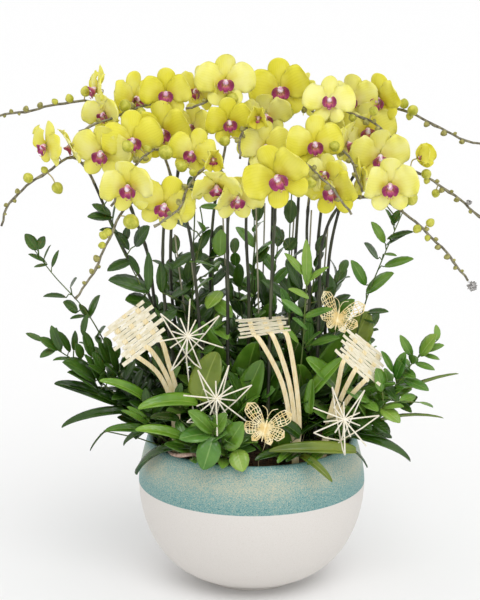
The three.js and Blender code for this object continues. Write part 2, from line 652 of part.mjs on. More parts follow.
function butterfly(plan) {
  const centre = planted(plan.centre);
  const face = heading(plan.turn, plan.tilt);
  const up = heading(plan.turn, plan.tilt + 90).applyAxisAngle(face, rad(-plan.spin));
  const side = up.clone().cross(face);
  const half = WING_SPAN / 2;
  const wing = (angle, length, width, lift) => {
    const run = up.clone().multiplyScalar(Math.cos(rad(angle)))
      .addScaledVector(side, Math.sin(rad(angle))).addScaledVector(face, lift);
    return blade(frame(centre, run, face), length, [width * 0.2, width, width * 0.55], WING_T, 8);
  };
  const tail = centre.clone().addScaledVector(up, -half * 0.55);
  const top = centre.clone().addScaledVector(up, half * 0.45);
  const behind = centre.clone().addScaledVector(face, -14).add(new THREE.Vector3(0, 0, -24));
  const wings = [52, -52].map((angle) => wing(angle, half * 1.1, half * 0.8, 0.3));
  const hindWings = [122, -122].map((angle) => wing(angle, half * 0.95, half * 0.62, 0.2));
  return {
    core: [
      tube([tail, top], BUTTERFLY_R, 5, 1),
      ...wings,
      ...hindWings,
      tube([centre, behind, above(plan.foot, 12), above(plan.foot)], WIRE_R, 3, 6),
    ],
    skin: [],
  };
}

function stake(plan) {
  const points = [above(plan.foot), above(plan.foot, 12), planted(plan.top)];
  return { core: [tube(points, STAKE_R, 4, 3)], skin: [] };
}

function rootTwig(plan) {
  const points = [above(plan.from, 5), ...plan.path.map(vec), above(plan.to, 5)];
  return { core: [tube(points, TWIG_R, 5, 6)], skin: [] };
}

// ---- Pot and potting mix ----------------------------------------------------------------

function bowlR(z, rWide, zWide) {
  const drop = Math.min(Math.max((zWide - z) / zWide, 0), 1);
  return rWide * (1 - drop ** POT_FALL) ** (1 / POT_ROUND);
}

function outerR(z) {
  if (z >= POT_WIDEST_Z) {
    const share = (z - POT_WIDEST_Z) / (POT_RIM_Z - POT_WIDEST_Z);
    return POT_WIDEST_R + (POT_RIM_R - POT_WIDEST_R) * share ** 1.6;
  }
  return Math.max(bowlR(z, POT_WIDEST_R, POT_WIDEST_Z), POT_FOOT_R);
}

function pot() {
  return pieceFrom((grow) => {
    const heights = [6, 24, 56, 106, POT_WIDEST_Z, (POT_WIDEST_Z + POT_RIM_Z) / 2];
    const outside = heights.map((z) => [outerR(z) + grow, z]);
    const inside = heights.slice(1).reverse().map((z) => [outerR(z) - POT_WALL - grow, z]);
    const profile = [
      [0, -grow], [POT_FOOT_R + grow, -grow], ...outside,
      [POT_RIM_R + grow, POT_RIM_Z + grow], [POT_RIM_R - POT_WALL - grow, POT_RIM_Z + grow],
      ...inside, [POT_FOOT_R - grow, POT_FLOOR + grow], [0, POT_FLOOR + grow],
    ];
    return lathe(profile);
  });
}

function lathe(profile) {
  const points = profile.map(([r, z]) => new THREE.Vector2(r, z));
  return new THREE.LatheGeometry(points, POT_SIDES).rotateX(Math.PI / 2);
}

function pottingMix() {
  return pieceFrom((grow) => {
    const levels = [MIX_TOP - MIX_DEPTH, MIX_TOP];
    const side = levels.map((z) => [outerR(z) - POT_WALL - MIX_CLEAR + grow, z]);
    return lathe([[0, levels[0]], ...side, [0, MIX_TOP + grow / 2]]);
  });
}

// ---- Assembly ---------------------------------------------------------------------------

const colour = (hex, roughness = 0.6, metalness = 0) =>
  new THREE.MeshStandardMaterial({ color: hex, roughness, metalness });

const number = (i) => String(i + 1).padStart(2, "0");

const parts = [
  { name: "pot", material: colour(0x7fa9a6, 0.55), core: [pot()], skin: [] },
  { name: "potting_mix", material: colour(0x4a3a2a, 0.95), core: [pottingMix()], skin: [] },
  ...STAKES.map((p, i) => ({ name: `stake_${number(i)}`, material: colour(0xb9b6a2), ...stake(p) })),
  ...SPIKES.map((p, i) => ({ name: `spike_${number(i)}`, material: colour(0xe6df4a, 0.5), ...spike(p) })),
  ...BUTTERFLIES.map((p, i) => (
    { name: `butterfly_${number(i)}`, material: colour(0xe8d49a, 0.4), ...butterfly(p) })),
  ...STARS.map((p, i) => ({ name: `rattan_star_${number(i)}`, material: colour(0xf0e7cf), ...star(p) })),
  ...FANS.map((p, i) => ({ name: `bamboo_fan_${number(i)}`, material: colour(0xe9ddb8), ...fan(p) })),
  { name: "root_twig", material: colour(0x9a8064, 0.8), ...rootTwig(ROOT_TWIG) },
  ...SPRAYS.map((p) => ({ name: p.name, material: colour(p.tint, 0.4), ...spray(p) })),
  ...GRASS.map((p) => ({ name: p.name, material: colour(0x4f7a2e, 0.5), ...grass(p) })),
  ...CROWNS.map((p, i) => (
    { name: `orchid_leaves_${number(i)}`, material: colour(0x2f6a22, 0.35), ...crown(p) })),
];

function joined(pieces, grow) {
  return pieces.map((make) => make(grow)).reduce((all, one) => all.add(one));
}

// Stems and other cores are never cut by petals or leaves: cores give way to earlier cores,
// and skins give way to every other core and to earlier skins.
function settle(list) {
  const coreRoom = list.map((part) => joined(part.core, GAP));
  const skinRoom = [];
  const made = [];
  list.forEach((part, i) => {
    let core = joined(part.core, 0);
    for (let j = 0; j < i; j += 1) {
      core = core.subtract(coreRoom[j]);
    }
    let skin = part.skin.length ? joined(part.skin, 0) : null;
    if (skin) {
      skinRoom[i] = joined(part.skin, GAP);
      for (let j = 0; j < list.length; j += 1) {
        skin = j === i ? skin : skin.subtract(coreRoom[j]);
        skin = j < i && skinRoom[j] ? skin.subtract(skinRoom[j]) : skin;
      }
    }
    made[i] = skin ? core.add(skin) : core;
  });
  return made;
}

// The one closed body of a solid: crumbs that a notch leaves loose are not part of the plant.
function mainBody(shape) {
  const mesh = shape.getMesh();
  const at = Array.from(mesh.vertProperties, (v) => Math.round(v / CRUMB) * CRUMB);
  const rough = new THREE.BufferGeometry();
  rough.setAttribute("position", new THREE.Float32BufferAttribute(at, 3));
  rough.setIndex(Array.from(mesh.triVerts));
  const merged = mergeVertices(rough, CRUMB / 10);
  const spots = merged.getAttribute("position").array;
  const index = merged.getIndex().array;
  const parent = Array.from({ length: spots.length / 3 }, (_, i) => i);
  const root = (i) => {
    let top = i;
    while (parent[top] !== top) {
      parent[top] = parent[parent[top]];
      top = parent[top];
    }
    return top;
  };
  const faces = [];
  for (let i = 0; i < index.length; i += 3) {
    const [a, b, c] = [index[i], index[i + 1], index[i + 2]];
    if (a !== b && b !== c && c !== a) {
      faces.push([a, b, c]);
      parent[root(a)] = root(b);
      parent[root(b)] = root(c);
    }
  }
  const bodies = new Map();
  for (const face of faces) {
    const key = root(face[0]);
    bodies.set(key, [...(bodies.get(key) ?? []), ...face]);
  }
  const ordered = [...bodies.values()].sort((p, q) => signedVolume(spots, q) - signedVolume(spots, p));
  const body = new THREE.BufferGeometry();
  body.setAttribute("position", new THREE.Float32BufferAttribute(spots, 3));
  body.setIndex(ordered[0]);
  return mergeVertices(body.toNonIndexed(), CRUMB / 10);
}

const arrangement = new THREE.Group();
const settled = settle(parts);
parts.forEach((part, i) => {
  const mesh = new THREE.Mesh(mainBody(settled[i]), part.material);
  mesh.name = part.name;
  arrangement.add(mesh);
});

export default arrangement;
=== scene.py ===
# %% [markdown]
# # A bowl of moth orchids
# A round two-tone bowl is planted with fifteen arching stems of yellow moth orchid. Their own strap
# leaves, leafy cut sprays, woven bamboo fans, straw stars and two gilt butterflies fill the mouth of
# the bowl. Together the pieces stand in for all the solids of the frame, in metres, +Z up, front -Y.

# %% Load the frame
import math
import random
import bpy
from mathutils import Matrix, Quaternion, Vector


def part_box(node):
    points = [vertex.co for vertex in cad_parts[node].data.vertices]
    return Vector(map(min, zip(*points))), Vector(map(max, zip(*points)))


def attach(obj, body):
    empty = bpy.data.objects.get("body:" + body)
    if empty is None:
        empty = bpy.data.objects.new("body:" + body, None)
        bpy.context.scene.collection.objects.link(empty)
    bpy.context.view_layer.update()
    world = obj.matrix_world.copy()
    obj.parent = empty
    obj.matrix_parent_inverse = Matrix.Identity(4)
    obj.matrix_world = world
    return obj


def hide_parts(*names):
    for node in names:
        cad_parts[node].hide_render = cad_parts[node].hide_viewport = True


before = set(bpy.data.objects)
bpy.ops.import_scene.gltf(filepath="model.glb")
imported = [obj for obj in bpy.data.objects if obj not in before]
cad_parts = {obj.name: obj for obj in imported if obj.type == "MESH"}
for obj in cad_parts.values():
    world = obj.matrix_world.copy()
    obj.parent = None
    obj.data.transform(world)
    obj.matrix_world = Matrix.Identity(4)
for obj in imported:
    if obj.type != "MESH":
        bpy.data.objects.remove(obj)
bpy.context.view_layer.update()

# %% [markdown]
# The planting plan is written in millimetres, as a florist would measure it. `mm` turns a measure
# into metres. The mouth of the bowl and the level of the mix come from the frame.

# %% Measures that everything shares
MM = 0.001
DICE = random.Random(7)
POT_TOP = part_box("pot")[1][2]
MIX_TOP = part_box("potting_mix")[1][2]
MOUTH_R = 168 * MM


def mm(point):
    return Vector(point) * MM


def above(foot, height=0.4):
    """A place over the mix; the foot is a share of the mouth's radius, the height in millimetres."""
    return Vector((foot[0] * MOUTH_R, foot[1] * MOUTH_R, MIX_TOP + height * MM))


def heading(turn, rise):
    """A direction: turn 0 faces the front and grows to the right, rise is up, in degrees."""
    level = math.cos(math.radians(rise))
    turned = math.radians(turn)
    return Vector((math.sin(turned) * level, -math.cos(turned) * level, math.sin(math.radians(rise))))


def basis(origin, x, z):
    ax = x.normalized()
    ay = z.cross(ax).normalized()
    turned = Matrix((ax, ay, ax.cross(ay))).transposed().to_4x4()
    return Matrix.Translation(origin) @ turned


# %% [markdown]
# The camera looks slightly down on the arrangement from the front, far enough away that the stems
# stay upright in the render. It comes first, so that every later piece can be judged through it.

# %% Camera
CAMERA_AT = (-0.020, -2.800, 1.140)
CAMERA_DOWN = 13.135
camera_data = bpy.data.cameras.new("camera")
camera_data.sensor_fit = "VERTICAL"
camera_data.sensor_height = 24.0
camera_data.lens = 68.70
camera = bpy.data.objects.new("camera", camera_data)
camera.location = CAMERA_AT
camera.rotation_euler = (math.radians(90 - CAMERA_DOWN), 0, 0)
bpy.context.scene.collection.objects.link(camera)
bpy.context.scene.camera = camera

# %% [markdown]
# ## Shaping helpers
# A few small tools do what hands do: pick one piece, bend a line smoothly through its points, lay
# wire along it, and form a flat blank into a leaf, petal or strip.


# %% Picking, joining and finishing pieces
def deselect_all():
    for other in list(bpy.context.selected_objects):
        other.select_set(False)


def pick(*objects):
    deselect_all()
    for one in objects:
        one.select_set(True)
    bpy.context.view_layer.objects.active = objects[0]


def apply_modifier(piece, kind, **settings):
    pick(piece)
    modifier = piece.modifiers.new(kind.title(), kind)
    for name, value in settings.items():
        setattr(modifier, name, value)
    bpy.ops.object.modifier_apply(modifier=modifier.name)


def merge_and_face_out(piece, distance=1e-5):
    pick(piece)
    bpy.ops.object.mode_set(mode="EDIT")
    bpy.ops.mesh.select_all(action="SELECT")
    bpy.ops.mesh.remove_doubles(threshold=distance)
    bpy.ops.mesh.normals_make_consistent(inside=False)
    bpy.ops.object.mode_set(mode="OBJECT")


def join(name, parts):
    pick(*parts)
    if len(parts) > 1:
        bpy.ops.object.join()
    piece = bpy.context.view_layer.objects.active
    piece.name = name
    piece.data.name = name
    return piece


def copy_of(master, place=None):
    twin = master.copy()
    twin.data = master.data.copy()
    bpy.context.scene.collection.objects.link(twin)
    if place is not None:
        twin.data.transform(place)
    return twin


def coat(piece, *materials):
    piece.data.materials.clear()
    for material in materials:
        piece.data.materials.append(material)
    return piece


def hand_over(piece, slot, *nodes):
    """The finished piece rides with the pot and stands for the CAD nodes it was made for."""
    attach(piece, "root")
    if nodes:
        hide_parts(*nodes)
    piece.name
    return piece


# %% Smooth lines
LINE_FINENESS = 12


def smooth_line(points, count):
    """Evenly spaced points on the centripetal curve through the given ones."""
    ends = [points[0] * 2 - points[1], *points, points[-1] * 2 - points[-2]]
    fine = []
    for a, b, c, d in zip(ends, ends[1:], ends[2:], ends[3:]):
        t1, t2, t3 = (max((q - p).length, 1e-9) ** 0.5 for p, q in ((a, b), (b, c), (c, d)))
        leave = ((b - a) / t1 - (c - a) / (t1 + t2) + (c - b) / t2) * t2
        arrive = ((c - b) / t2 - (d - b) / (t2 + t3) + (d - c) / t3) * t2
        for i in range(LINE_FINENESS):
            s = i / LINE_FINENESS
            fine.append(b * (2 * s**3 - 3 * s**2 + 1) + leave * (s**3 - 2 * s**2 + s)
                        + c * (3 * s**2 - 2 * s**3) + arrive * (s**3 - s**2))
    fine.append(points[-1].copy())
    runs = [0.0]
    for p, q in zip(fine, fine[1:]):
        runs.append(runs[-1] + (q - p).length)
    line, k = [], 0
    for i in range(count + 1):
        want = runs[-1] * i / count
        while k < len(runs) - 2 and runs[k + 1] < want:
            k += 1
        share = (want - runs[k]) / max(runs[k + 1] - runs[k], 1e-9)
        line.append(fine[k].lerp(fine[k + 1], min(share, 1.0)))
    return line


def spot_on(line, share):
    place = share * (len(line) - 1)
    i = min(int(place), len(line) - 2)
    return line[i].lerp(line[i + 1], place - i), (line[i + 1] - line[i]).normalized()


def nearest_on(line, point):
    return min(line, key=lambda p: (p - point).length)


# %% Wire: a curve with a round section, made into a mesh
def wire(name, lines, radius, material, swell=None, roundness=2):
    """Tubes along the lines. swell(share) widens or narrows the tube along its run."""
    curve = bpy.data.curves.new(name, "CURVE")
    curve.dimensions = "3D"
    curve.bevel_depth = radius
    curve.bevel_resolution = roundness
    curve.use_fill_caps = True
    for line in lines:
        spline = curve.splines.new("POLY")
        spline.points.add(len(line) - 1)
        for i, (point, place) in enumerate(zip(spline.points, line)):
            point.co = (*place, 1.0)
            point.radius = swell(i / (len(line) - 1)) if swell else 1.0
    piece = bpy.data.objects.new(name, curve)
    bpy.context.scene.collection.objects.link(piece)
    pick(piece)
    bpy.ops.object.convert(target="MESH")
    piece = bpy.context.view_layer.objects.active
    merge_and_face_out(piece)
    bpy.ops.object.shade_smooth()
    return coat(piece, material)


# %% [markdown]
# Petals, leaves, wings and strips all begin as the same blank: a flat grid of one unit, with its own
# UV map, u along the blade and v across it. `form` then moves each row and column by a rule, the way
# proportional editing would, and the blade gets its thickness from Solidify.


# %% Blanks
def blank(name, rows, columns):
    deselect_all()
    bpy.ops.mesh.primitive_grid_add(x_subdivisions=rows, y_subdivisions=columns, size=1)
    sheet = bpy.context.view_layer.objects.active
    sheet.name = name
    sheet.data.transform(Matrix.Translation((0.5, 0, 0)))
    return sheet


def form(sheet, rule):
    for vertex in sheet.data.vertices:
        vertex.co = rule(vertex.co.x, vertex.co.y * 2)
    return sheet


def thicken(sheet, thickness, smoother=0):
    merge_and_face_out(sheet, 1e-4)
    apply_modifier(sheet, "SOLIDIFY", thickness=thickness, offset=0.0)
    if smoother:
        apply_modifier(sheet, "SUBSURF", levels=smoother, render_levels=smoother)
    pick(sheet)
    bpy.ops.object.shade_smooth()
    return sheet


def bend_into(mesh, place, length, width, bend, lift=1.0):
    """Lays a unit blade in place: its length runs along an arc that turns by bend degrees."""
    turn = math.radians(bend)
    for vertex in mesh.vertices:
        run, side, up = vertex.co.x * length, vertex.co.y * width, vertex.co.z * length * lift
        angle = turn * vertex.co.x
        if abs(turn) < 1e-6:
            along, rise = run, 0.0
        else:
            along, rise = length / turn * math.sin(angle), length / turn * (1 - math.cos(angle))
        vertex.co = place @ Vector((along - up * math.sin(angle), side, rise + up * math.cos(angle)))
    return mesh


# %% [markdown]
# ## Finishes
# Colours are given as on a paint card and turned to linear light by one function. `add_node` adds a
# node with its settings, values and links, and the short functions after it name what nodes do, so
# each finish below reads like a recipe.


# %% Colour and nodes
def linear(code):
    channels = (int(code[i:i + 2], 16) / 255 for i in (1, 3, 5))
    return (*(c / 12.92 if c <= 0.04045 else ((c + 0.055) / 1.055) ** 2.4 for c in channels), 1.0)


def add_node(tree, kind, settings=None, values=None, links=None):
    made = tree.nodes.new(kind)
    for name, value in (settings or {}).items():
        setattr(made, name, value)
    for socket, value in (values or {}).items():
        made.inputs[socket].default_value = value
    for socket, source in (links or {}).items():
        tree.links.new(source, made.inputs[socket])
    return made


def ramp(tree, source, stops):
    """Turns a value into a colour, or into a strength where the stops are numbers."""
    made = add_node(tree, "ShaderNodeValToRGB", links={0: source})
    elements = made.color_ramp.elements
    while len(elements) < len(stops):
        elements.new(0.5)
    for element, (place, colour) in zip(elements, stops):
        element.position = place
        element.color = linear(colour) if isinstance(colour, str) else (colour,) * 3 + (1.0,)
    return made.outputs[0]


def clouds(tree, source, scale, detail, roughness=0.5):
    values = {"Scale": scale, "Detail": detail, "Roughness": roughness}
    return add_node(tree, "ShaderNodeTexNoise", values=values, links={0: source}).outputs[0]


def maths(tree, operation, *inputs):
    """Numbers are set and sockets are linked, in the order of the node's inputs."""
    values = {i: one for i, one in enumerate(inputs) if isinstance(one, float)}
    links = {i: one for i, one in enumerate(inputs) if not isinstance(one, float)}
    return add_node(tree, "ShaderNodeMath", {"operation": operation}, values, links).outputs[0]


MIX_A, MIX_B, MIX_OUT = 6, 7, 2


def blend(tree, share, under, over):
    """Covers one colour with another by a share; the cover is a paint code or a socket."""
    made = add_node(tree, "ShaderNodeMix", {"data_type": "RGBA"}, links={0: share, MIX_A: under})
    if isinstance(over, str):
        made.inputs[MIX_B].default_value = linear(over)
    else:
        tree.links.new(over, made.inputs[MIX_B])
    return made.outputs[MIX_OUT]


def emboss(tree, shader, height, strength, distance):
    bump = add_node(tree, "ShaderNodeBump", values={"Strength": strength, "Distance": distance},
                    links={"Height": height})
    tree.links.new(bump.outputs[0], shader.inputs["Normal"])


def paint(tree, shader, colour):
    tree.links.new(colour, shader.inputs["Base Color"])


def new_finish(name, roughness, ior=1.45, **values):
    """A material with its tree, its shader, its place in the piece, and its place on the blade."""
    material = bpy.data.materials.new(name)
    material.use_nodes = True
    tree = material.node_tree
    shader = tree.nodes["Principled BSDF"]
    shader.inputs["Roughness"].default_value = roughness
    shader.inputs["IOR"].default_value = ior
    for socket, value in values.items():
        shader.inputs[socket.replace("_", " ")].default_value = value
    coords = add_node(tree, "ShaderNodeTexCoord")
    return material, tree, shader, coords.outputs["Object"], coords.outputs["UV"]


# %% [markdown]
# ** Petal.** Living orchid petal: thin, waxy tissue full of water, so light glows through it. Its colour
# runs from a deeper yellow at the claw, partly its own and partly painted shade in the folds, to a rim
# painted paler as painted glow. Fine veins fan out from the claw, and pale patches drift over it.


# %% Petal finish
PETAL_VEINS = 7


def petal_skin(name, claw, middle, rim):
    material, tree, shader, inside, blade = new_finish(
        name, 0.46, 1.40, Subsurface_Weight=0.25, Subsurface_Scale=0.004,
        Subsurface_Radius=(1.0, 0.9, 0.25), Sheen_Weight=0.1)
    along = add_node(tree, "ShaderNodeSeparateXYZ", links={0: blade})
    # Deeper yellow at the claw, partly painted shade; paler at the rim, painted glow of light through the
    # tissue.
    colour = ramp(tree, along.outputs[0], [(0.0, claw), (0.38, middle), (0.8, middle), (1.0, rim)])
    veins = add_node(tree, "ShaderNodeTexWave", {"bands_direction": "Y"},
                     {"Scale": PETAL_VEINS / 2, "Distortion": 1.6, "Detail": 2.0, "Detail Scale": 1.5},
                     {0: blade}).outputs["Fac"]
    veined = blend(tree, ramp(tree, veins, [(0.0, 0.20), (0.35, 0.0)]), colour, claw)
    patches = ramp(tree, clouds(tree, inside, 26.0, 3.0), [(0.42, 0.0), (0.66, 0.7)])
    paint(tree, shader, blend(tree, patches, veined, rim))
    emboss(tree, shader, veins, 0.10, 0.0005)
    return material


# %% [markdown]
# **Lip and column.** The lip is velvety magenta with a pale orange throat; the column above it is
# white with a pink flush.


# %% Lip and column finishes
def lip_velvet():
    material, tree, shader, inside, blade = new_finish("orchid_lip_velvet", 0.5, 1.40, Sheen_Weight=0.3)
    along = add_node(tree, "ShaderNodeSeparateXYZ", links={0: blade})
    flecks = maths(tree, "MULTIPLY_ADD", clouds(tree, inside, 420.0, 2.0), 0.22, -0.11)
    place = maths(tree, "ADD", along.outputs[0], flecks)
    paint(tree, shader, ramp(tree, place, [(0.0, "#F0D8C4"), (0.20, "#E0A07C"), (0.34, "#C8588A"),
                                           (0.50, "#A23268"), (0.90, "#882650"), (1.0, "#B87A9C")]))
    return material


def flushed(name, roughness, ior, scale, detail, stops, **values):
    """Two tones that drift into each other, with no relief."""
    material, tree, shader, inside, _ = new_finish(name, roughness, ior, **values)
    paint(tree, shader, ramp(tree, clouds(tree, inside, scale, detail), stops))
    return material


# %% [markdown]
# **Stems, stalks and buds.** A moth orchid's stem is a hard green-brown cane with paler streaks, drier
# towards its tip. Bud skins are yellow-green with a darker base, and the youngest are olive.


# %% Stem and bud finishes
def streaked(name, dark, light, roughness, scale=(60.0, 60.0, 6.0), spread=(0.38, 0.66)):
    """Two tones in streaks that run up the piece; scale is patterns per metre along each axis."""
    material, tree, shader, inside, _ = new_finish(name, roughness)
    stretch = add_node(tree, "ShaderNodeMapping", values={"Scale": scale}, links={0: inside})
    grain = clouds(tree, stretch.outputs[0], 3.0, 5.0, 0.6)
    paint(tree, shader, ramp(tree, grain, [(spread[0], dark), (spread[1], light)]))
    emboss(tree, shader, grain, 0.35, 0.0005)
    return material


# %% [markdown]
# **Leaves.** Glossy cuticle over deep green, a paler midrib and faint side veins. The side veins and
# midrib follow the blade's own UV map, and a slow noise varies the green from leaf to leaf.

# %% Leaf finish
SIDE_VEINS = 60.0
SIDE_VEIN_SLANT = -0.35


def leaf_gloss(name, dark, light, rib, roughness):
    material, tree, shader, inside, blade = new_finish(
        name, roughness, 1.42, Subsurface_Weight=0.06, Subsurface_Scale=0.002,
        Coat_Weight=0.20, Coat_Roughness=0.12)
    place = add_node(tree, "ShaderNodeSeparateXYZ", links={0: blade})
    green = ramp(tree, clouds(tree, inside, 16.0, 4.0), [(0.34, dark), (0.68, light)])
    aside = maths(tree, "ABSOLUTE", maths(tree, "SUBTRACT", place.outputs[1], 0.5))
    midrib = ramp(tree, aside, [(0.012, 0.45), (0.04, 0.0)])
    paint(tree, shader, blend(tree, midrib, green, rib))
    slant = maths(tree, "MULTIPLY_ADD", aside, SIDE_VEIN_SLANT, place.outputs[0])
    ripple = maths(tree, "SINE", maths(tree, "MULTIPLY", slant, SIDE_VEINS))
    emboss(tree, shader, ripple, 0.18, 0.0006)
    return material


# %% [markdown]
# **The bowl.** Stoneware. Below its widest line the body is bare and sanded smooth, off-white with a
# faint grit. Above the line it wears a matte sea-green glaze full of sand specks, more of them in the
# middle of the band. The line between them is crisp, because the band was masked before glazing.


# %% Bowl finish
BAND_FROM = 175 * MM
SPECK_SIZE = 1.6 * MM


def glazed_bowl():
    material, tree, shader, inside, _ = new_finish("stoneware_speckled_glaze", 0.55, 1.5)
    place = add_node(tree, "ShaderNodeSeparateXYZ", links={0: inside})
    band = maths(tree, "GREATER_THAN", place.outputs[2], BAND_FROM)
    grit = clouds(tree, inside, 1.0 / SPECK_SIZE, 3.0, 0.8)
    height = add_node(tree, "ShaderNodeMapRange", values={1: BAND_FROM, 2: POT_TOP},
                      links={0: place.outputs[2]})
    sandy = ramp(tree, height.outputs[0],
                 [(0.0, 0.0), (0.22, 0.06), (0.55, 0.25), (0.85, 0.18), (1.0, 0.0)])
    share = maths(tree, "MULTIPLY", sandy, clouds(tree, inside, 9.0, 3.0))
    glaze = ramp(tree, maths(tree, "ADD", share, grit),
                 [(0.38, "#3A6E6E"), (0.47, "#5F9496"), (0.55, "#7EA6A3"), (0.61, "#A0AC9C"),
                  (0.68, "#C0BEA4")])
    body = ramp(tree, grit, [(0.24, "#C4BDB3"), (0.38, "#D9D4CE"), (0.70, "#DFDBD7")])
    paint(tree, shader, blend(tree, band, body, glaze))
    emboss(tree, shader, grit, 0.25, 0.0004)
    return material


# %% All finishes
petal = petal_skin("orchid_petal_waxy", "#CDC114", "#E8E048", "#F1EC84")
deep_petal = petal_skin("orchid_petal_deep_waxy", "#C2B812", "#E1D93C", "#ECE56C")
pale_petal = petal_skin("orchid_petal_pale_waxy", "#D4C92A", "#EDE76A", "#F4F0A0")
lip = lip_velvet()
column = flushed("orchid_column_waxy", 0.38, 1.40, 180.0, 1.0, [(0.40, "#F3E6EA"), (0.62, "#D79CC0")],
                 Subsurface_Weight=0.2, Subsurface_Scale=0.002)
stem_bark = streaked("orchid_stem_cane", "#24251A", "#565A40", 0.38, spread=(0.42, 0.70))
tip_bark = streaked("orchid_stem_tip_cane", "#5A5440", "#9A9478", 0.5, (60.0, 60.0, 60.0))
stalk_skin = streaked("orchid_bud_stalk", "#A8A040", "#C9B88A", 0.5)
bud_skin = streaked("orchid_bud_waxy", "#A9AC2E", "#D6D25A", 0.42, (40.0, 40.0, 40.0))
young_bud_skin = streaked("orchid_young_bud", "#7E7A3C", "#B4AE66", 0.5, (60.0, 60.0, 60.0))
bract_skin = streaked("dry_bract", "#7A6A4E", "#B9AE8C", 0.7, (60.0, 60.0, 60.0))
withered = streaked("withered_tip_fibres", "#8E8C8A", "#C9C6C4", 0.9)
# The shaded strap leaf is a darker copy painted as shade; the plain glossy one is the sunlit copy, painted
# as sunlight.
strap_leaf = leaf_gloss("orchid_leaf_painted_sunlit_glossy", "#3C6614", "#709A34", "#98B858", 0.22)
shade_painted_strap = leaf_gloss("orchid_leaf_shaded_glossy", "#1C3A06", "#3E6218", "#6E8E42", 0.22)
fresh_strap = leaf_gloss("orchid_leaf_young_glossy", "#4A7A1A", "#7EA636", "#A6C264", 0.20)
olive_leaf = leaf_gloss("orchid_leaf_old_glossy", "#586E1C", "#849436", "#A4B05A", 0.28)
# The deep ruscus green is a darker copy of the leaf that paints shade on low, back and left-hand leaves.
shade_painted_leaf = leaf_gloss("ruscus_leaf_painted_shade", "#1E3C08", "#42661C", "#64863A", 0.30)
mid_leaf = leaf_gloss("ruscus_leaf_mid", "#42701A", "#7AA03C", "#9ABA60", 0.28)
# The pale broad leaf is paler partly as its own lighter green and partly as painted sheen.
sheen_painted_leaf = leaf_gloss("broad_leaf_pale_painted_sheen", "#3F7022", "#74A048", "#9CBC70", 0.18)
fresh_leaf = leaf_gloss("young_shoot_leaf", "#5C8826", "#90AE48", "#B4C878", 0.26)
leaf_stem = streaked("leafy_stem", "#39521F", "#6F7F3C", 0.5)
grass_skin = leaf_gloss("grass_blade", "#3E601A", "#7E943C", "#A0B05C", 0.4)
stake_cane = streaked("plant_stake_cane", "#8E8A72", "#BDB8A0", 0.7)
twig_bark = streaked("aerial_root_skin", "#8C6F60", "#C9AFA0", 0.8, (60.0, 60.0, 60.0))
bamboo_pale = streaked("bamboo_strip_bleached", "#DCD2B2", "#F3EDDA", 0.5, (30.0, 200.0, 30.0))
bamboo_tan = streaked("bamboo_strip_natural", "#E4CE96", "#F4E8C6", 0.5, (200.0, 30.0, 30.0))
rattan_pale = streaked("rattan_core_bleached", "#EFE6CC", "#FDF9EE", 0.6, (80.0, 80.0, 80.0))
# The darkest bark tone is partly the bark's own colour and partly painted shade under the leaves.
bark_chips = streaked("potting_bark", "#2A1D13", "#6B4D33", 0.95, (60.0, 60.0, 60.0))
bowl_finish = glazed_bowl()
print("finishes", len(bpy.data.materials))

# %% [markdown]
# ## The bowl
# A slip-cast bowl, widest a little above its middle and drawn in to the mouth. It is made as a potter
# raises a wall: start from the foot ring, then extrude and scale one ring after another, over the rim
# and down the inside. The profile follows the same curve as the CAD bowl.

# %% Bowl
POT_WIDEST_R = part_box("pot")[1][0]
POT_WALL = 9 * MM
BOWL_SIDES = 128
FOOT_R = 80 * MM
RIM_R = 177 * MM
RIM_ROUND = 4.5 * MM
FLOOR_Z = 14 * MM
LOWER_RINGS = 16
UPPER_RINGS = 8
RIM_STEPS = 8
BAND_CURVE = 1.6
FOOT_CURVE = 1.9
FULLNESS = 3.1


def bowl_radius(z):
    """Drawn in towards the rim above the colour line, and a fuller curve down to the foot below."""
    if z >= BAND_FROM:
        rise = (z - BAND_FROM) / (POT_TOP - BAND_FROM)
        return POT_WIDEST_R + (RIM_R - POT_WIDEST_R) * rise**BAND_CURVE
    drop = (BAND_FROM - z) / BAND_FROM
    return max(POT_WIDEST_R * (1 - drop**FOOT_CURVE) ** (1 / FULLNESS), FOOT_R)


def bowl_profile():
    heights = [BAND_FROM * (i / LOWER_RINGS) ** 1.5 for i in range(1, LOWER_RINGS + 1)]
    heights += [BAND_FROM + (POT_TOP - RIM_ROUND - BAND_FROM) * i / UPPER_RINGS
                for i in range(1, UPPER_RINGS + 1)]
    outside = [(bowl_radius(z), z) for z in heights]
    middle_r = RIM_R - RIM_ROUND
    rim = [(middle_r + RIM_ROUND * math.cos(a), POT_TOP - RIM_ROUND + RIM_ROUND * math.sin(a))
           for a in (math.pi * k / RIM_STEPS for k in range(1, RIM_STEPS))]
    inside = [(bowl_radius(z) - POT_WALL, z) for z in reversed(heights) if z > FLOOR_Z * 1.6]
    return outside + rim + inside + [(FOOT_R, FLOOR_Z), (FOOT_R * 0.1, FLOOR_Z)]


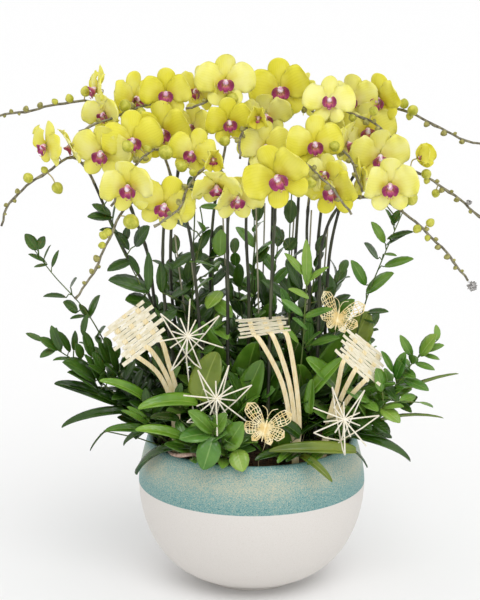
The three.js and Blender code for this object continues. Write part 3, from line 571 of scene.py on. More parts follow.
deselect_all()
bpy.ops.mesh.primitive_circle_add(vertices=BOWL_SIDES, radius=FOOT_R, fill_type="NGON")
bowl = bpy.context.view_layer.objects.active
bowl.name = "glazed_bowl"
bpy.ops.object.mode_set(mode="EDIT")
bpy.ops.mesh.select_all(action="SELECT")
ring_r, ring_z = FOOT_R, 0.0
for next_r, next_z in bowl_profile():
    bpy.ops.mesh.extrude_region_move(TRANSFORM_OT_translate={"value": (0, 0, next_z - ring_z)})
    widen = next_r / ring_r
    bpy.ops.transform.resize(value=(widen, widen, 1), center_override=(0, 0, next_z))
    ring_r, ring_z = next_r, next_z
bpy.ops.object.mode_set(mode="OBJECT")
merge_and_face_out(bowl)
bpy.ops.object.shade_smooth_by_angle(angle=math.radians(50))
coat(bowl, bowl_finish)
hand_over(bowl, "glazed_stoneware", "pot")
print("bowl", len(bowl.data.polygons), "faces")

# %% [markdown]
# ## Potting bark
# The mouth is filled with chopped bark: a flat bed with loose chips on top. One chip is beveled from a
# cube, and each copy is turned and squashed its own way.

# %% Potting bark
MIX_R = 165 * MM
CHIP_COUNT = 260
CHIP_SIZE = 13 * MM

mix_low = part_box("potting_mix")[0][2]
deselect_all()
bpy.ops.mesh.primitive_cylinder_add(vertices=64, radius=MIX_R, depth=MIX_TOP - mix_low - 0.004,
                                    location=(0, 0, (MIX_TOP + mix_low) / 2 - 0.002))
mix = bpy.context.view_layer.objects.active
pick(mix)
bpy.ops.object.transform_apply(location=True)
bpy.ops.mesh.primitive_cube_add(size=1)
chip = bpy.context.view_layer.objects.active
apply_modifier(chip, "BEVEL", width=0.16, segments=1)
chips = [mix]
for _ in range(CHIP_COUNT):
    turn, far = DICE.uniform(0, 2 * math.pi), MIX_R * math.sqrt(DICE.random()) * 0.97
    size = CHIP_SIZE * DICE.uniform(0.6, 1.2)
    place = Matrix.Translation((far * math.cos(turn), far * math.sin(turn), MIX_TOP - 0.003))
    spin = Quaternion((DICE.gauss(0, 1), DICE.gauss(0, 1), DICE.gauss(0, 1), DICE.gauss(0, 1)))
    shape = Matrix.Diagonal((size, size * 0.7, size * 0.35, 1))
    chips.append(copy_of(chip, place @ spin.normalized().to_matrix().to_4x4() @ shape))
bpy.data.objects.remove(chip)
mix = join("potting_bark_mix", chips)
coat(mix, bark_chips)
hand_over(mix, "bark_mix", "potting_mix")
print("bark", CHIP_COUNT, "chips")

# %% [markdown]
# ## The planting plan
# Millimetres, from the middle of the pot's foot: right, back, up. A foot is a share of the mouth's
# radius. Flowers give place, turn, tilt, roll, size and kind; large buds give place and radius. Crown
# and grass leaves give turn, rise, droop, length and width.

# %% Planting plan
SPIKES = [
    {"foot": (-0.8, 0.14), "tip_buds": 5,
     "path": [(-165, 30, 480), (-176, 35, 560), (-210, 35, 660), (-238, 32, 780), (-265, 25, 815),
              (-330, 15, 810), (-380, 5, 800), (-425, 0, 795)],
     "flowers": [(-252, 2, 838, -75, 0, 0, 0.95, "open"), (-240, -12, 800, -25, -10, 0, 0.85, "open")],
     "buds": [(-273, 18, 833, 8.5)]},
    {"foot": (-0.86, -0.12), "tip_buds": 4,
     "path": [(-170, -5, 490), (-210, 0, 565), (-240, 0, 635), (-270, -5, 705), (-292, -15, 730),
              (-330, -25, 710), (-385, -35, 670), (-402, -38, 645), (-410, -40, 620)],
     "flowers": [(-332, -48, 752, -50, -5, 0, 0.9, "open"), (-292, -44, 752, -80, -30, 0, 0.8, "open"),
                 (-243, -48, 742, -12, -10, 0, 1.12, "open")],
     "buds": [(-318, -32, 682, 9.5), (-364, -38, 699, 8.5)]},
    {"foot": (-0.64, -0.2), "tip_buds": 4,
     "path": [(-145, -25, 490), (-145, -25, 620), (-133, -30, 700), (-155, -60, 750), (-195, -90, 715),
              (-208, -102, 692), (-225, -110, 665)],
     "flowers": [(-193, -52, 762, 5, 0, 0, 1.1, "open")],
     "buds": [(-198, -92, 758, 9.5), (-138, -88, 748, 12)]},
    {"foot": (-0.44, -0.38), "tip_buds": 5,
     "path": [(-90, -55, 500), (-105, -55, 625), (-125, -65, 680), (-152, -75, 692), (-185, -85, 675),
              (-210, -95, 650), (-238, -105, 592), (-262, -110, 545), (-285, -115, 515)],
     "flowers": [(-196, -116, 698, -10, -15, 0, 1.1, "open"),
                 (-140, -114, 668, -5, -15, 18, 1.1, "open"), (-104, -92, 660, 75, -20, 0, 0.8, "open")],
     "buds": [(-194, -108, 640, 12.5), (-238, -100, 616, 7)]},
    {"foot": (-0.62, 0.24), "tip_buds": 4,
     "path": [(-135, 35, 480), (-135, 35, 610), (-122, 35, 720), (-130, 30, 785), (-162, 8, 814),
              (-190, -10, 808), (-215, -20, 800), (-280, -40, 775)],
     "flowers": [(-194, 28, 820, 40, 0, 0, 1, "open"), (-140, -12, 832, 0, 5, 0, 1, "open"),
                 (-146, -24, 772, 0, 0, 0, 1.15, "open"), (-98, 6, 776, -30, 10, 0, 0.95, "open")],
     "buds": [(-206, -22, 814, 10), (-180, -24, 804, 8)]},
    {"foot": (-0.3, 0.36), "tip_buds": 4,
     "path": [(-70, 60, 475), (-65, 60, 620), (-42, 55, 750), (-30, 42, 812), (-50, 15, 832),
              (-80, -12, 816), (-108, -20, 810)],
     "flowers": [(-88, 14, 836, -40, -10, 0, 0.9, "open"), (-44, -6, 850, 5, 5, 0, 1.1, "open")],
     "buds": [(-33, -14, 826, 9.5)]},
    {"foot": (-0.24, -0.44), "tip_buds": 4,
     "path": [(-40, -65, 500), (-40, -65, 625), (-38, -72, 695), (-60, -92, 726), (-85, -110, 720),
              (-100, -120, 700), (-120, -138, 662), (-155, -150, 640)],
     "flowers": [(-96, -76, 745, -15, 0, 12, 0.95, "open"), (-63, -118, 742, 10, -5, 0, 0.62, "cup"),
                 (-56, -126, 702, -5, -42, 0, 1.05, "open"), (-26, -104, 678, 15, -20, 0, 1.05, "open")],
     "buds": [(-88, -128, 692, 7.5), (-112, -106, 728, 9)]},
    {"foot": (-0.06, -0.15), "tip_buds": 4,
     "path": [(-5, -20, 490), (-10, -10, 615), (-4, -12, 735), (-5, -35, 778), (-16, -65, 778),
              (-20, -85, 762), (-20, -100, 740)],
     "flowers": [(-38, -46, 790, 10, 0, 0, 0.95, "open"), (10, -62, 800, -10, 0, 0, 0.66, "cup"),
                 (20, -56, 752, 15, 0, 0, 1, "open")],
     "buds": [(-44, -72, 764, 8.5)]},
    {"foot": (0.17, 0.44), "tip_buds": 4,
     "path": [(35, 80, 470), (35, 85, 600), (40, 80, 730), (52, 62, 792), (80, 38, 805), (135, 5, 783)],
     "flowers": [(46, 28, 834, 0, 5, 0, 1.18, "open"), (90, 76, 818, 115, 0, 0, 0.95, "open"),
                 (24, 22, 794, -10, -22, 0, 0.95, "open")],
     "buds": [(62, 26, 798, 8)]},
    {"foot": (0.36, 0.12), "tip_buds": 5,
     "path": [(70, 20, 480), (75, 20, 610), (85, 20, 735), (105, 12, 798), (130, -5, 808),
              (190, -20, 790), (225, -30, 765), (252, -32, 754)],
     "flowers": [(124, -24, 820, 0, 28, 0, 0.98, "open"), (116, -14, 776, 0, -10, 0, 0.8, "open")],
     "buds": [(196, -26, 806, 7.5)]},
    {"foot": (0.58, 0.38), "tip_buds": 4,
     "path": [(110, 65, 470), (115, 70, 600), (135, 65, 730), (168, 55, 790), (205, 44, 808),
              (270, 25, 793), (335, 15, 760), (385, 5, 745)],
     "flowers": [(165, 18, 820, -22, 0, 0, 0.98, "open"), (208, 14, 820, -25, -5, 0, 1, "open")],
     "buds": [(250, 26, 812, 8), (264, 20, 802, 9)]},
    {"foot": (0.49, -0.18), "tip_buds": 4,
     "path": [(95, -30, 495), (90, -25, 620), (100, -25, 700), (118, -35, 740), (142, -60, 750),
              (160, -80, 728), (175, -95, 685)],
     "flowers": [(100, -68, 757, 0, 5, 0, 1.08, "open"), (152, -28, 754, 60, -10, 0, 0.9, "open")],
     "buds": [(131, -74, 756, 8.5), (96, -72, 728, 10)]},
    {"foot": (0.74, 0.06), "tip_buds": 4,
     "path": [(125, 10, 485), (135, 15, 595), (165, 10, 690), (200, 0, 727), (240, -20, 718),
              (300, -35, 690), (355, -45, 650), (385, -52, 625)],
     "flowers": [(190, 12, 770, 0, -5, 0, 1.1, "open"), (206, -42, 735, 5, -15, 0, 1.1, "open"),
                 (268, -34, 730, 62, 20, 0, 0.7, "cup")],
     "buds": [(282, -42, 706, 8.5), (300, -26, 672, 7)]},
    {"foot": (0.62, -0.38), "tip_buds": 5,
     "path": [(110, -60, 500), (112, -60, 585), (130, -65, 643), (155, -75, 670), (190, -85, 675),
              (225, -95, 664), (280, -105, 620), (320, -110, 578), (345, -115, 545)],
     "flowers": [(216, -122, 700, 0, -5, 0, 1.1, "open"), (176, -56, 698, 100, 0, 0, 0.85, "open")],
     "buds": [(252, -108, 676, 10), (284, -98, 636, 7)]},
    {"foot": (0.15, -0.54), "tip_buds": 4,
     "path": [(30, -85, 505), (35, -85, 620), (42, -90, 698), (62, -102, 732), (88, -116, 730),
              (108, -130, 714), (135, -140, 686), (155, -145, 658)],
     "flowers": [(40, -152, 718, -10, -5, -22, 1.22, "open"), (84, -90, 702, -30, -10, 0, 0.8, "open"),
                 (116, -100, 716, -20, 10, 0, 0.75, "open"), (128, -106, 690, -25, -5, 0, 1.08, "open")],
     "buds": [(92, -126, 706, 9)]},
]

CROWNS = [
    {"foot": (-0.72, -0.34), "leaves": [(-110, 58, -60, 160, 46)]},
    {"foot": (-0.6, 0.3), "leaves": [(-78, 66, -40, 170, 46), (-120, 45, -70, 180, 44),
                (-150, 35, -75, 170, 42), (-50, 72, -25, 150, 44), (-66, 82, -14, 236, 46)]},
    {"foot": (-0.34, -0.62), "leaves": [(28, 66, -50, 100, 44), (64, 76, -40, 130, 44)]},
    {"foot": (-0.16, -0.16), "leaves": [(-40, 60, -55, 150, 54), (12, 66, -60, 140, 50),
                (-95, 70, -50, 150, 46), (-60, 82, -20, 225, 52), (34, 80, -28, 205, 52)]},
    {"foot": (0.12, 0.34), "leaves": [(170, 55, -70, 180, 50), (-170, 42, -70, 170, 46),
                (60, 70, -40, 170, 46), (-60, 72, -35, 160, 44), (10, 84, -14, 240, 48)]},
    {"foot": (0.3, -0.62), "leaves": [(84, 60, -50, 120, 36), (-30, 70, -40, 110, 40)]},
    {"foot": (0.56, -0.1), "leaves": [(36, 64, -55, 150, 54), (80, 66, -45, 175, 56),
                (-20, 68, -50, 140, 46), (54, 80, -26, 225, 56), (-34, 82, -20, 210, 48)]},
    {"foot": (0.66, 0.34), "leaves": [(118, 58, -60, 160, 44), (150, 45, -75, 165, 42),
                (64, 64, -50, 170, 48), (70, 80, -30, 215, 50)]},
    {"foot": (0.78, -0.3), "leaves": [(62, 72, -54, 180, 42)]},
]

SPRAYS = [
    {"name": "ruscus_left", "foot": (-0.9, 0.02), "r": 1.6,
     "path": [(-205, 0, 330), (-275, -20, 470), (-330, -20, 535), (-362, -20, 580)]},
    {"name": "ruscus_left_low", "foot": (-0.86, -0.26), "r": 1.8, "count": 8, "leaf": (50, 17),
     "path": [(-205, -50, 315), (-285, -62, 392), (-345, -62, 432)]},
    {"name": "ruscus_left_inner", "foot": (-0.82, -0.06), "r": 1.8, "count": 7, "leaf": (52, 19),
     "path": [(-190, -25, 330), (-245, -48, 395), (-280, -52, 440)]},
    {"name": "ruscus_left_tall", "foot": (-0.7, -0.34), "r": 1.6,
     "path": [(-155, -50, 440), (-180, -50, 515), (-215, -55, 590), (-242, -60, 655)]},
    {"name": "foliage_mid_left", "foot": (-0.48, -0.02), "r": 2, "count": 6, "leaf": (58, 28),
     "path": [(-100, -5, 430), (-95, -15, 540), (-80, -20, 610)]},
    {"name": "foliage_tall_left", "foot": (-0.46, 0.16), "r": 2, "count": 6, "leaf": (58, 28),
     "path": [(-100, 12, 500), (-95, 5, 640), (-98, -18, 735)]},
    {"name": "foliage_tall_mid", "foot": (0.04, 0.22), "r": 2, "count": 7, "leaf": (60, 28),
     "path": [(0, 28, 500), (10, 22, 640), (12, 12, 745)]},
    {"name": "foliage_tall_right", "foot": (0.38, -0.08), "r": 2, "count": 6, "leaf": (60, 28),
     "path": [(62, -10, 470), (62, -12, 600), (66, -12, 690)]},
    {"name": "new_shoot", "foot": (0.4, -0.46), "r": 1.8,
     "path": [(82, -88, 425), (86, -92, 510), (90, -92, 575)]},
    {"name": "ruscus_right", "foot": (0.86, -0.06), "r": 1.7,
     "path": [(165, -30, 390), (188, -40, 495), (208, -40, 550), (246, -40, 645)]},
    {"name": "ruscus_right_low", "foot": (0.84, -0.4), "r": 1.8, "count": 8, "leaf": (44, 21),
     "path": [(215, -88, 335), (258, -92, 398), (302, -92, 442)]},
    {"name": "ruscus_right_front", "foot": (0.66, -0.56), "r": 1.8, "count": 6, "leaf": (48, 22),
     "path": [(185, -112, 315), (232, -122, 345), (272, -124, 345)]},
    {"name": "rosette_front", "foot": (-0.4, -0.8), "r": 2, "count": 6, "leaf": (50, 32),
     "path": [(-70, -150, 272), (-66, -166, 296), (-60, -176, 318)]},
    {"name": "foliage_back_left", "foot": (-0.42, 0.7), "r": 2, "count": 6, "leaf": (58, 27),
     "path": [(-105, 150, 400), (-145, 175, 500)]},
    {"name": "foliage_back_right", "foot": (0.44, 0.7), "r": 2, "count": 6, "leaf": (58, 27),
     "path": [(105, 150, 400), (150, 175, 490)]},
]

GRASSES = [
    {"name": "grass_right", "foot": (0.92, -0.22), "leaves": [(74, 56, -42, 238, 8),
                (66, 44, -48, 190, 7)]},
    {"name": "grass_left", "foot": (-0.93, -0.14), "leaves": [(-72, 40, -60, 110, 4),
                (-96, 32, -50, 100, 5)]},
]

FANS = [
    {"head": (-190, -92, 455), "along": (0.8, 0, 0.6), "face": (0.1, -0.9, 0.42),
     "foot": (-0.76, -0.46), "knot": (-128, -78, 335)},
    {"head": (22, -112, 470), "along": (0.98, 0.1, 0.1), "face": (-0.1, -0.16, 0.98),
     "foot": (0.42, -0.72), "knot": (70, -124, 300)},
    {"head": (178, -112, 418), "along": (0.76, 0, -0.65), "face": (0.52, -0.55, 0.61),
     "foot": (0.7, -0.58), "knot": (128, -112, 300)},
]

STARS = [
    {"centre": (-104, -122, 455), "turn": 10, "tilt": 12, "spin": 8, "foot": (-0.52, -0.56)},
    {"centre": (-58, -160, 362), "turn": 4, "tilt": 22, "spin": 20, "foot": (-0.3, -0.74)},
    {"centre": (146, -176, 332), "turn": 12, "tilt": 26, "spin": 38, "foot": (0.6, -0.68)},
]

BUTTERFLIES = [
    {"centre": (20, -176, 318), "turn": 0, "tilt": 30, "spin": 14, "foot": (0.06, -0.86)},
    {"centre": (140, -64, 472), "turn": 20, "tilt": 35, "spin": 24, "foot": (0.5, -0.3)},
]

STAKES = [
    {"foot": (-0.52, -0.06), "top": (-128, -8, 600)},
    {"foot": (-0.34, -0.26), "top": (-100, -34, 560)},
    {"foot": (-0.2, 0.26), "top": (-52, 44, 700)},
    {"foot": (0.1, -0.06), "top": (6, 0, 660)},
    {"foot": (0.08, 0.28), "top": (22, 62, 640)},
    {"foot": (0.3, 0.3), "top": (72, 46, 640)},
    {"foot": (0.5, 0.06), "top": (98, -4, 640)},
    {"foot": (0.62, 0.22), "top": (128, 38, 610)},
]

# %% [markdown]
# Single leaves are placed by their two ends, with a width, a bow in degrees and a green: d deep, a
# darker copy painted as shade, m middle, f fresh, g pale and glossy, partly painted sheen, o olive.
# Capitals are the orchid's own strap leaves: D shaded and S sunlit, copies painted with shade and with
# sunlight, F young, O old. All but a few rows were worked out by a separate helper, not by hand.
# The first drafts of the tables above were computed too, and were then changed.

# %% Single leaves
PLACED_LEAVES = {
    "ruscus_left": [
        (-355, -20, 576, -374, -24, 604, 17, -20, "d"), (-353, -20, 578, -341, -24, 600, 14, -15, "d"),
        (-344, -20, 559, -331, -26, 586, 7, -10, "d"), (-331, -20, 547, -318, -28, 578, 7, -10, "d"),
        (-342, -20, 556, -370, -20, 569, 9, -20, "d"), (-339, -20, 551, -360, -30, 549, 6, -20, "d"),
        (-302, -20, 513, -289, -30, 531, 15, -10, "d"), (-309, -20, 495, -346, -30, 499, 11, -40, "d"),
        (-290, -20, 471, -313, -34, 491, 20, -20, "d"), (-272, -18, 460, -251, -34, 503, 17, -10, "d"),
        (-277, -18, 463, -302, -34, 462, 8, -30, "d"), (-273, -18, 463, -288, -20, 484, 10, -10, "d"),
        (-260, -10, 424, -243, -30, 449, 13, -10, "d"), (-261, -10, 427, -252, -40, 418, 10, -20, "d"),
    ],
    "ruscus_left_low": [
        (-320, -62, 416, -351, -70, 439, 17, -20, "d"), (-323, -62, 418, -349, -72, 406, 14, -30, "d"),
        (-315, -62, 416, -330, -64, 459, 15, -10, "d"), (-300, -62, 413, -320, -72, 451, 15, -15, "d"),
        (-294, -62, 415, -291, -62, 450, 10, 0, "d"), (-264, -60, 404, -278, -64, 449, 18, -10, "d"),
        (-281, -60, 402, -289, -76, 432, 14, -10, "d"), (-259, -60, 363, -310, -96, 405, 28, -30, "d"),
        (-254, -58, 343, -302, -100, 389, 22, -35, "d"), (-250, -60, 354, -276, -80, 414, 18, -20, "d"),
        (-265, -60, 377, -301, -70, 405, 16, -25, "d"), (-245, -60, 378, -263, -70, 415, 18, -15, "d"),
        (-239, -60, 365, -268, -100, 400, 16, -20, "d"),
    ],
    "ruscus_left_inner": [
        (-224, -50, 374, -237, -70, 427, 18, -10, "d"), (-236, -50, 388, -254, -60, 430, 18, -15, "d"),
        (-219, -50, 362, -242, -90, 399, 20, -20, "d"), (-231, -50, 396, -219, -60, 424, 15, -10, "d"),
        (-210, -50, 341, -231, -110, 372, 22, -30, "d"), (-216, -50, 376, -201, -66, 414, 16, -10, "d"),
        (-235, -50, 413, -244, -56, 437, 14, -10, "d"), (-203, -50, 331, -229, -110, 345, 20, -40, "d"),
    ],
    "ruscus_left_tall": [
        (-196, -55, 565, -236, -70, 551, 20, -20, "d"), (-168, -50, 512, -235, -66, 535, 36, -30, "d"),
        (-227, -60, 637, -267, -66, 640, 18, -20, "d"), (-229, -60, 642, -260, -56, 659, 15, -10, "d"),
        (-227, -60, 670, -248, -60, 685, 8, -10, "d"), (-226, -60, 630, -218, -70, 667, 11, -5, "d"),
        (-218, -60, 614, -247, -76, 620, 10, -20, "d"), (-220, -60, 614, -200, -70, 586, 13, -20, "d"),
        (-207, -60, 599, -202, -60, 624, 11, 0, "d"), (-191, -56, 590, -166, -66, 625, 26, -15, "d"),
        (-171, -50, 513, -170, -50, 580, 14, -5, "d"), (-185, -54, 543, -202, -60, 576, 12, -5, "d"),
        (-165, -50, 490, -207, -80, 505, 30, -25, "d"), (-152, -50, 464, -192, -70, 483, 26, -30, "d"),
    ],
    "foliage_mid_left": [
        (-149, -30, 506, -151, -40, 560, 18, -5, "d"), (-93, -20, 571, -132, -40, 547, 20, -25, "d"),
        (-56, -20, 542, -103, -60, 564, 15, -25, "m"), (-52, -16, 506, -74, -50, 483, 24, -20, "f"),
        (-92, -16, 468, -112, -50, 505, 22, -15, "m"), (-135, -10, 492, -95, -10, 516, 22, -15, "d"),
        (-53, -16, 565, -51, -26, 612, 24, -8, "m"), (-88, -16, 574, -68, -10, 609, 18, -10, "d"),
        (-86, -14, 647, -46, -26, 646, 13, -20, "m"), (-98, -14, 608, -135, -30, 627, 16, -20, "d"),
        (-76, -16, 531, -50, -40, 560, 18, -15, "m"), (-93, -30, 417, -125, -70, 452, 26, -20, "d"),
        (-65, -30, 451, -40, -80, 438, 24, -20, "m"), (-103, -30, 442, -77, -70, 432, 22, -20, "d"),
        (-120, -30, 405, -151, -80, 438, 26, -20, "d"), (-126, -30, 477, -152, -50, 456, 24, -20, "d"),
        (-62, -20, 491, -33, -50, 468, 22, -15, "m"),
    ],
    "foliage_tall_mid": [
        (22, 20, 472, 7, 0, 541, 24, -10, "d"), (-18, 20, 506, -23, -10, 550, 22, -10, "d"),
        (-20, 10, 484, 2, -20, 498, 16, -15, "m"), (-20, 0, 390, 20, -50, 427, 24, -20, "g"),
        (-15, 0, 435, -43, -40, 469, 24, -20, "d"), (-3, 0, 443, 23, -30, 473, 26, -20, "m"),
        (17, 0, 417, -10, -30, 456, 26, -15, "d"), (-33, 10, 484, -43, -10, 523, 20, -10, "d"),
        (10, 16, 548, 27, 10, 577, 20, -10, "d"), (-12, 0, 400, -40, -60, 423, 22, -20, "d"),
        (31, 0, 397, 53, -40, 431, 24, -20, "d"),
    ],
    "foliage_tall_right": [
        (63, -20, 469, 46, -40, 516, 18, -10, "g"), (73, -10, 486, 66, -10, 554, 26, -8, "d"),
        (93, -40, 407, 92, -50, 478, 16, -5, "g"), (74, -118, 443, 49, -134, 472, 15, -15, "f"),
        (80, -10, 509, 56, -20, 556, 20, -10, "d"), (117, -10, 489, 136, -20, 513, 20, -10, "d"),
        (130, -20, 436, 170, -30, 495, 34, -15, "m"), (167, -30, 413, 193, -40, 477, 40, -10, "o"),
        (97, -70, 427, 143, -90, 444, 18, -20, "m"), (110, -20, 440, 79, -60, 467, 24, -20, "d"),
        (155, -30, 399, 186, -60, 424, 28, -20, "d"), (123, -20, 457, 142, -30, 485, 24, -15, "d"),
        (55, -10, 574, 73, 0, 592, 22, -10, "d"), (48, 0, 589, 33, 0, 613, 20, -10, "d"),
    ],
    "new_shoot": [
        (88, -92, 531, 86, -92, 609, 15, -4, "f"), (85, -92, 548, 51, -98, 587, 12, -15, "f"),
        (85, -92, 535, 123, -98, 564, 12, -15, "f"), (92, -92, 510, 57, -104, 529, 12, -25, "f"),
        (82, -90, 481, 46, -110, 512, 16, -15, "g"), (84, -90, 478, 130, -110, 497, 14, -20, "m"),
        (91, -90, 457, 64, -110, 482, 16, -10, "g"), (88, -88, 432, 112, -110, 459, 16, -15, "m"),
    ],
    "ruscus_right": [
        (187, -40, 521, 161, -52, 566, 17, -10, "m"), (206, -40, 565, 182, -50, 594, 20, -15, "d"),
        (217, -40, 552, 264, -54, 568, 17, -15, "m"), (216, -40, 573, 236, -56, 573, 8, -20, "m"),
        (188, -38, 507, 232, -56, 545, 26, -15, "m"), (233, -40, 620, 216, -46, 649, 14, -10, "d"),
        (217, -40, 592, 193, -50, 629, 15, -12, "m"), (221, -40, 598, 263, -50, 612, 12, -20, "d"),
        (219, -40, 587, 248, -56, 607, 14, -15, "d"), (228, -40, 623, 241, -40, 647, 12, -5, "d"),
        (194, -30, 676, 172, -10, 708, 22, -10, "d"), (189, -36, 473, 225, -50, 478, 14, -20, "d"),
        (185, -36, 464, 203, -50, 459, 11, -20, "d"), (241, -40, 650, 260, -40, 670, 14, -5, "g"),
    ],
    "ruscus_right_low": [
        (274, -92, 414, 299, -100, 453, 27, -12, "f"), (261, -92, 413, 240, -92, 450, 13, -5, "m"),
        (266, -92, 402, 297, -106, 394, 11, -20, "m"), (279, -92, 416, 305, -100, 410, 9, -20, "m"),
        (235, -92, 375, 249, -110, 426, 20, -8, "g"), (230, -92, 387, 209, -100, 425, 13, -8, "m"),
        (248, -92, 374, 287, -116, 362, 18, -20, "m"), (246, -90, 329, 271, -100, 347, 18, -20, "d"),
        (236, -90, 336, 260, -116, 325, 13, -30, "d"), (242, -90, 390, 266, -110, 382, 16, -20, "m"),
        (223, -88, 347, 247, -110, 365, 18, -20, "m"), (258, -92, 387, 236, -116, 414, 15, -15, "m"),
        (216, -88, 366, 237, -120, 344, 20, -25, "d"),
    ],
    "ruscus_right_front": [
        (191, -118, 344, 151, -130, 366, 24, -20, "m"), (211, -118, 362, 199, -126, 403, 26, -15, "m"),
        (208, -118, 334, 239, -140, 315, 22, -25, "f"), (186, -112, 320, 214, -124, 346, 20, -20, "d"),
        (163, -112, 311, 194, -140, 303, 20, -30, "d"), (176, -112, 345, 203, -140, 334, 20, -20, "m"),
        (151, -110, 336, 126, -130, 359, 18, -20, "d"), (196, -110, 311, 224, -130, 293, 18, -30, "d"),
    ],
    "rosette_front": [
        (-66, -172, 307, -117, -188, 303, 30, -25, "g"),
        (-63, -172, 308, -103, -178, 347, 28, -20, "m"), (-62, -172, 305, -41, -176, 343, 24, -15, "m"),
        (-42, -172, 281, -15, -186, 331, 33, -20, "m"), (-63, -176, 304, -79, -196, 254, 34, -25, "g"),
        (-26, -172, 281, -15, -196, 251, 28, -25, "f"), (-62, -170, 308, -78, -160, 335, 22, -10, "d"),
        (-49, -170, 286, -33, -180, 306, 24, -20, "d"), (-76, -168, 287, -100, -180, 279, 20, -30, "d"),
        (-39, -168, 295, -1, -180, 306, 26, -20, "d"),
    ],
    "orchid_leaves_01": [
        (-225, -57, 322, -328, -60, 358, 26, -35, "D"), (-206, -70, 311, -317, -62, 282, 22, -40, "D"),
        (-175, -80, 333, -249, -110, 377, 20, -60, "F"),
        (-168, -100, 289, -242, -96, 288, 18, -35, "S"),
        (-151, -110, 302, -212, -90, 260, 13, -60, "D"), (-241, -92, 286, -268, -88, 250, 3, -20, "D"),
        (-172, -118, 306, -213, -128, 332, 15, -20, "S"),
        (-169, -112, 308, -204, -116, 335, 13, -10, "S"),
    ],
    "orchid_leaves_03": [
        (-89, -110, 338, -184, -152, 342, 28, -55, "F"),
        (-114, -140, 290, -189, -150, 306, 22, -45, "F"),
        (-88, -148, 274, -193, -62, 200, 24, -55, "D"), (-85, -112, 345, -57, -100, 423, 54, -25, "O"),
        (-118, -120, 314, -165, -140, 323, 30, -30, "D"),
        (-33, -120, 327, -49, -128, 384, 34, -20, "D"),
    ],
    "orchid_leaves_04": [
        (-20, -80, 314, 16, -90, 407, 44, -20, "S"), (16, -70, 333, 47, -90, 404, 44, -20, "D"),
        (-10, -90, 308, -40, -100, 389, 40, -20, "D"), (-32, -60, 375, -80, -90, 417, 16, -30, "D"),
    ],
    "orchid_leaves_06": [
        (60, -146, 268, 4, -178, 264, 20, -40, "D"), (66, -150, 272, 40, -186, 262, 16, -50, "S"),
        (104, -140, 276, 54, -180, 262, 26, -40, "D"), (112, -150, 268, 88, -182, 258, 16, -50, "S"),
        (168, -150, 269, 26, -176, 278, 24, -18, "O"), (78, -160, 267, 127, -200, 235, 14, -50, "O"),
        (164, -150, 269, 188, -120, 232, 10, -20, "D"), (16, -150, 269, -10, -170, 296, 20, -20, "D"),
        (78, -130, 290, 38, -140, 320, 26, -30, "D"),
    ],
    "orchid_leaves_07": [
        (138, -100, 364, 87, -104, 414, 38, -20, "S"), (96, -108, 356, 148, -118, 418, 26, -18, "F"),
        (93, -112, 323, 97, -116, 382, 20, -10, "S"), (128, -90, 305, 163, -100, 350, 30, -20, "D"),
        (114, -120, 288, 150, -140, 307, 24, -30, "D"),
    ],
    "orchid_leaves_09": [
        (159, -130, 288, 260, -110, 239, 26, -40, "D"), (163, -120, 297, 229, -110, 280, 22, -30, "D"),
        (127, -120, 280, 179, -110, 311, 20, -20, "D"),
    ],
}
flower_count = sum(len(plan["flowers"]) for plan in SPIKES)
print("plan", len(SPIKES), "orchid stems,", flower_count, "flowers")

# %% [markdown]
# ## Flower masters
# A moth orchid has a top sepal, two broad petals, two lower sepals, a three-lobed lip and a column.
# Several masters are modelled, each a little more open or closed, and each flower is a copy.
# The unit is the flower's reach from its centre, x to its right, y up and z out towards the viewer.


# %% Petals and sepals
def turned(degrees, axis):
    return Matrix.Rotation(math.radians(degrees), 4, axis)


def full_outline(base, swell, close):
    """A blade's width along its run: narrow at the claw, widest past the middle, round at the end."""
    peak = max((i / 50) ** swell * (1 - (i / 50) ** close) ** 0.5 for i in range(51))
    return lambda t: max(base * (1 - t) ** 3, t**swell * max(1 - t**close, 0.0) ** 0.5 / peak)


PETAL_OUTLINE = full_outline(0.16, 0.56, 2.5)
SEPAL_OUTLINE = full_outline(0.30, 0.55, 2.2)
LOBE_OUTLINE = full_outline(0.45, 0.50, 2.6)
TENDRIL = 0.011


def tepal(outline, length, width, camber, curl, ruffle, waves, phase, skin=None):
    """One petal or sepal as a unit blade; camber is across it and curl along it."""
    sheet = blank("tepal", 12, 10)

    def rule(x, side):
        t = math.sin(x * math.pi / 2)
        rim = abs(side) ** 3
        wave = ruffle * rim * math.sin(waves * math.pi * t + phase + (1.3 if side > 0 else 0))
        groove = -0.02 * math.exp(-(side / 0.16) ** 2) * (1 - t)
        lift = camber * (side * outline(t)) ** 2 + curl * t * t + wave + groove
        return Vector((t * length, side * outline(t) * width / 2, lift * length))

    form(sheet, rule)
    thicken(sheet, 0.018)
    coat(sheet, skin or petal)
    return sheet


def set_tepal(sheet, angle, lean, twist=0.0, out=0.0, back=0.0):
    """Turns a blade to its clock angle from the top, leans it forward, and places its claw."""
    set_at = Matrix.Translation((0, 0, back)) @ turned(90 - angle, "Z") @ turned(-lean, "Y")
    sheet.data.transform(set_at @ turned(twist, "X") @ Matrix.Translation((out, 0, 0)))
    return sheet


# %% [markdown]
# The lip's side lobes stand up beside the column like a collar, and its middle lobe reaches forward
# and ends in two thin tendrils. The column is a blunt waxy nose above them.


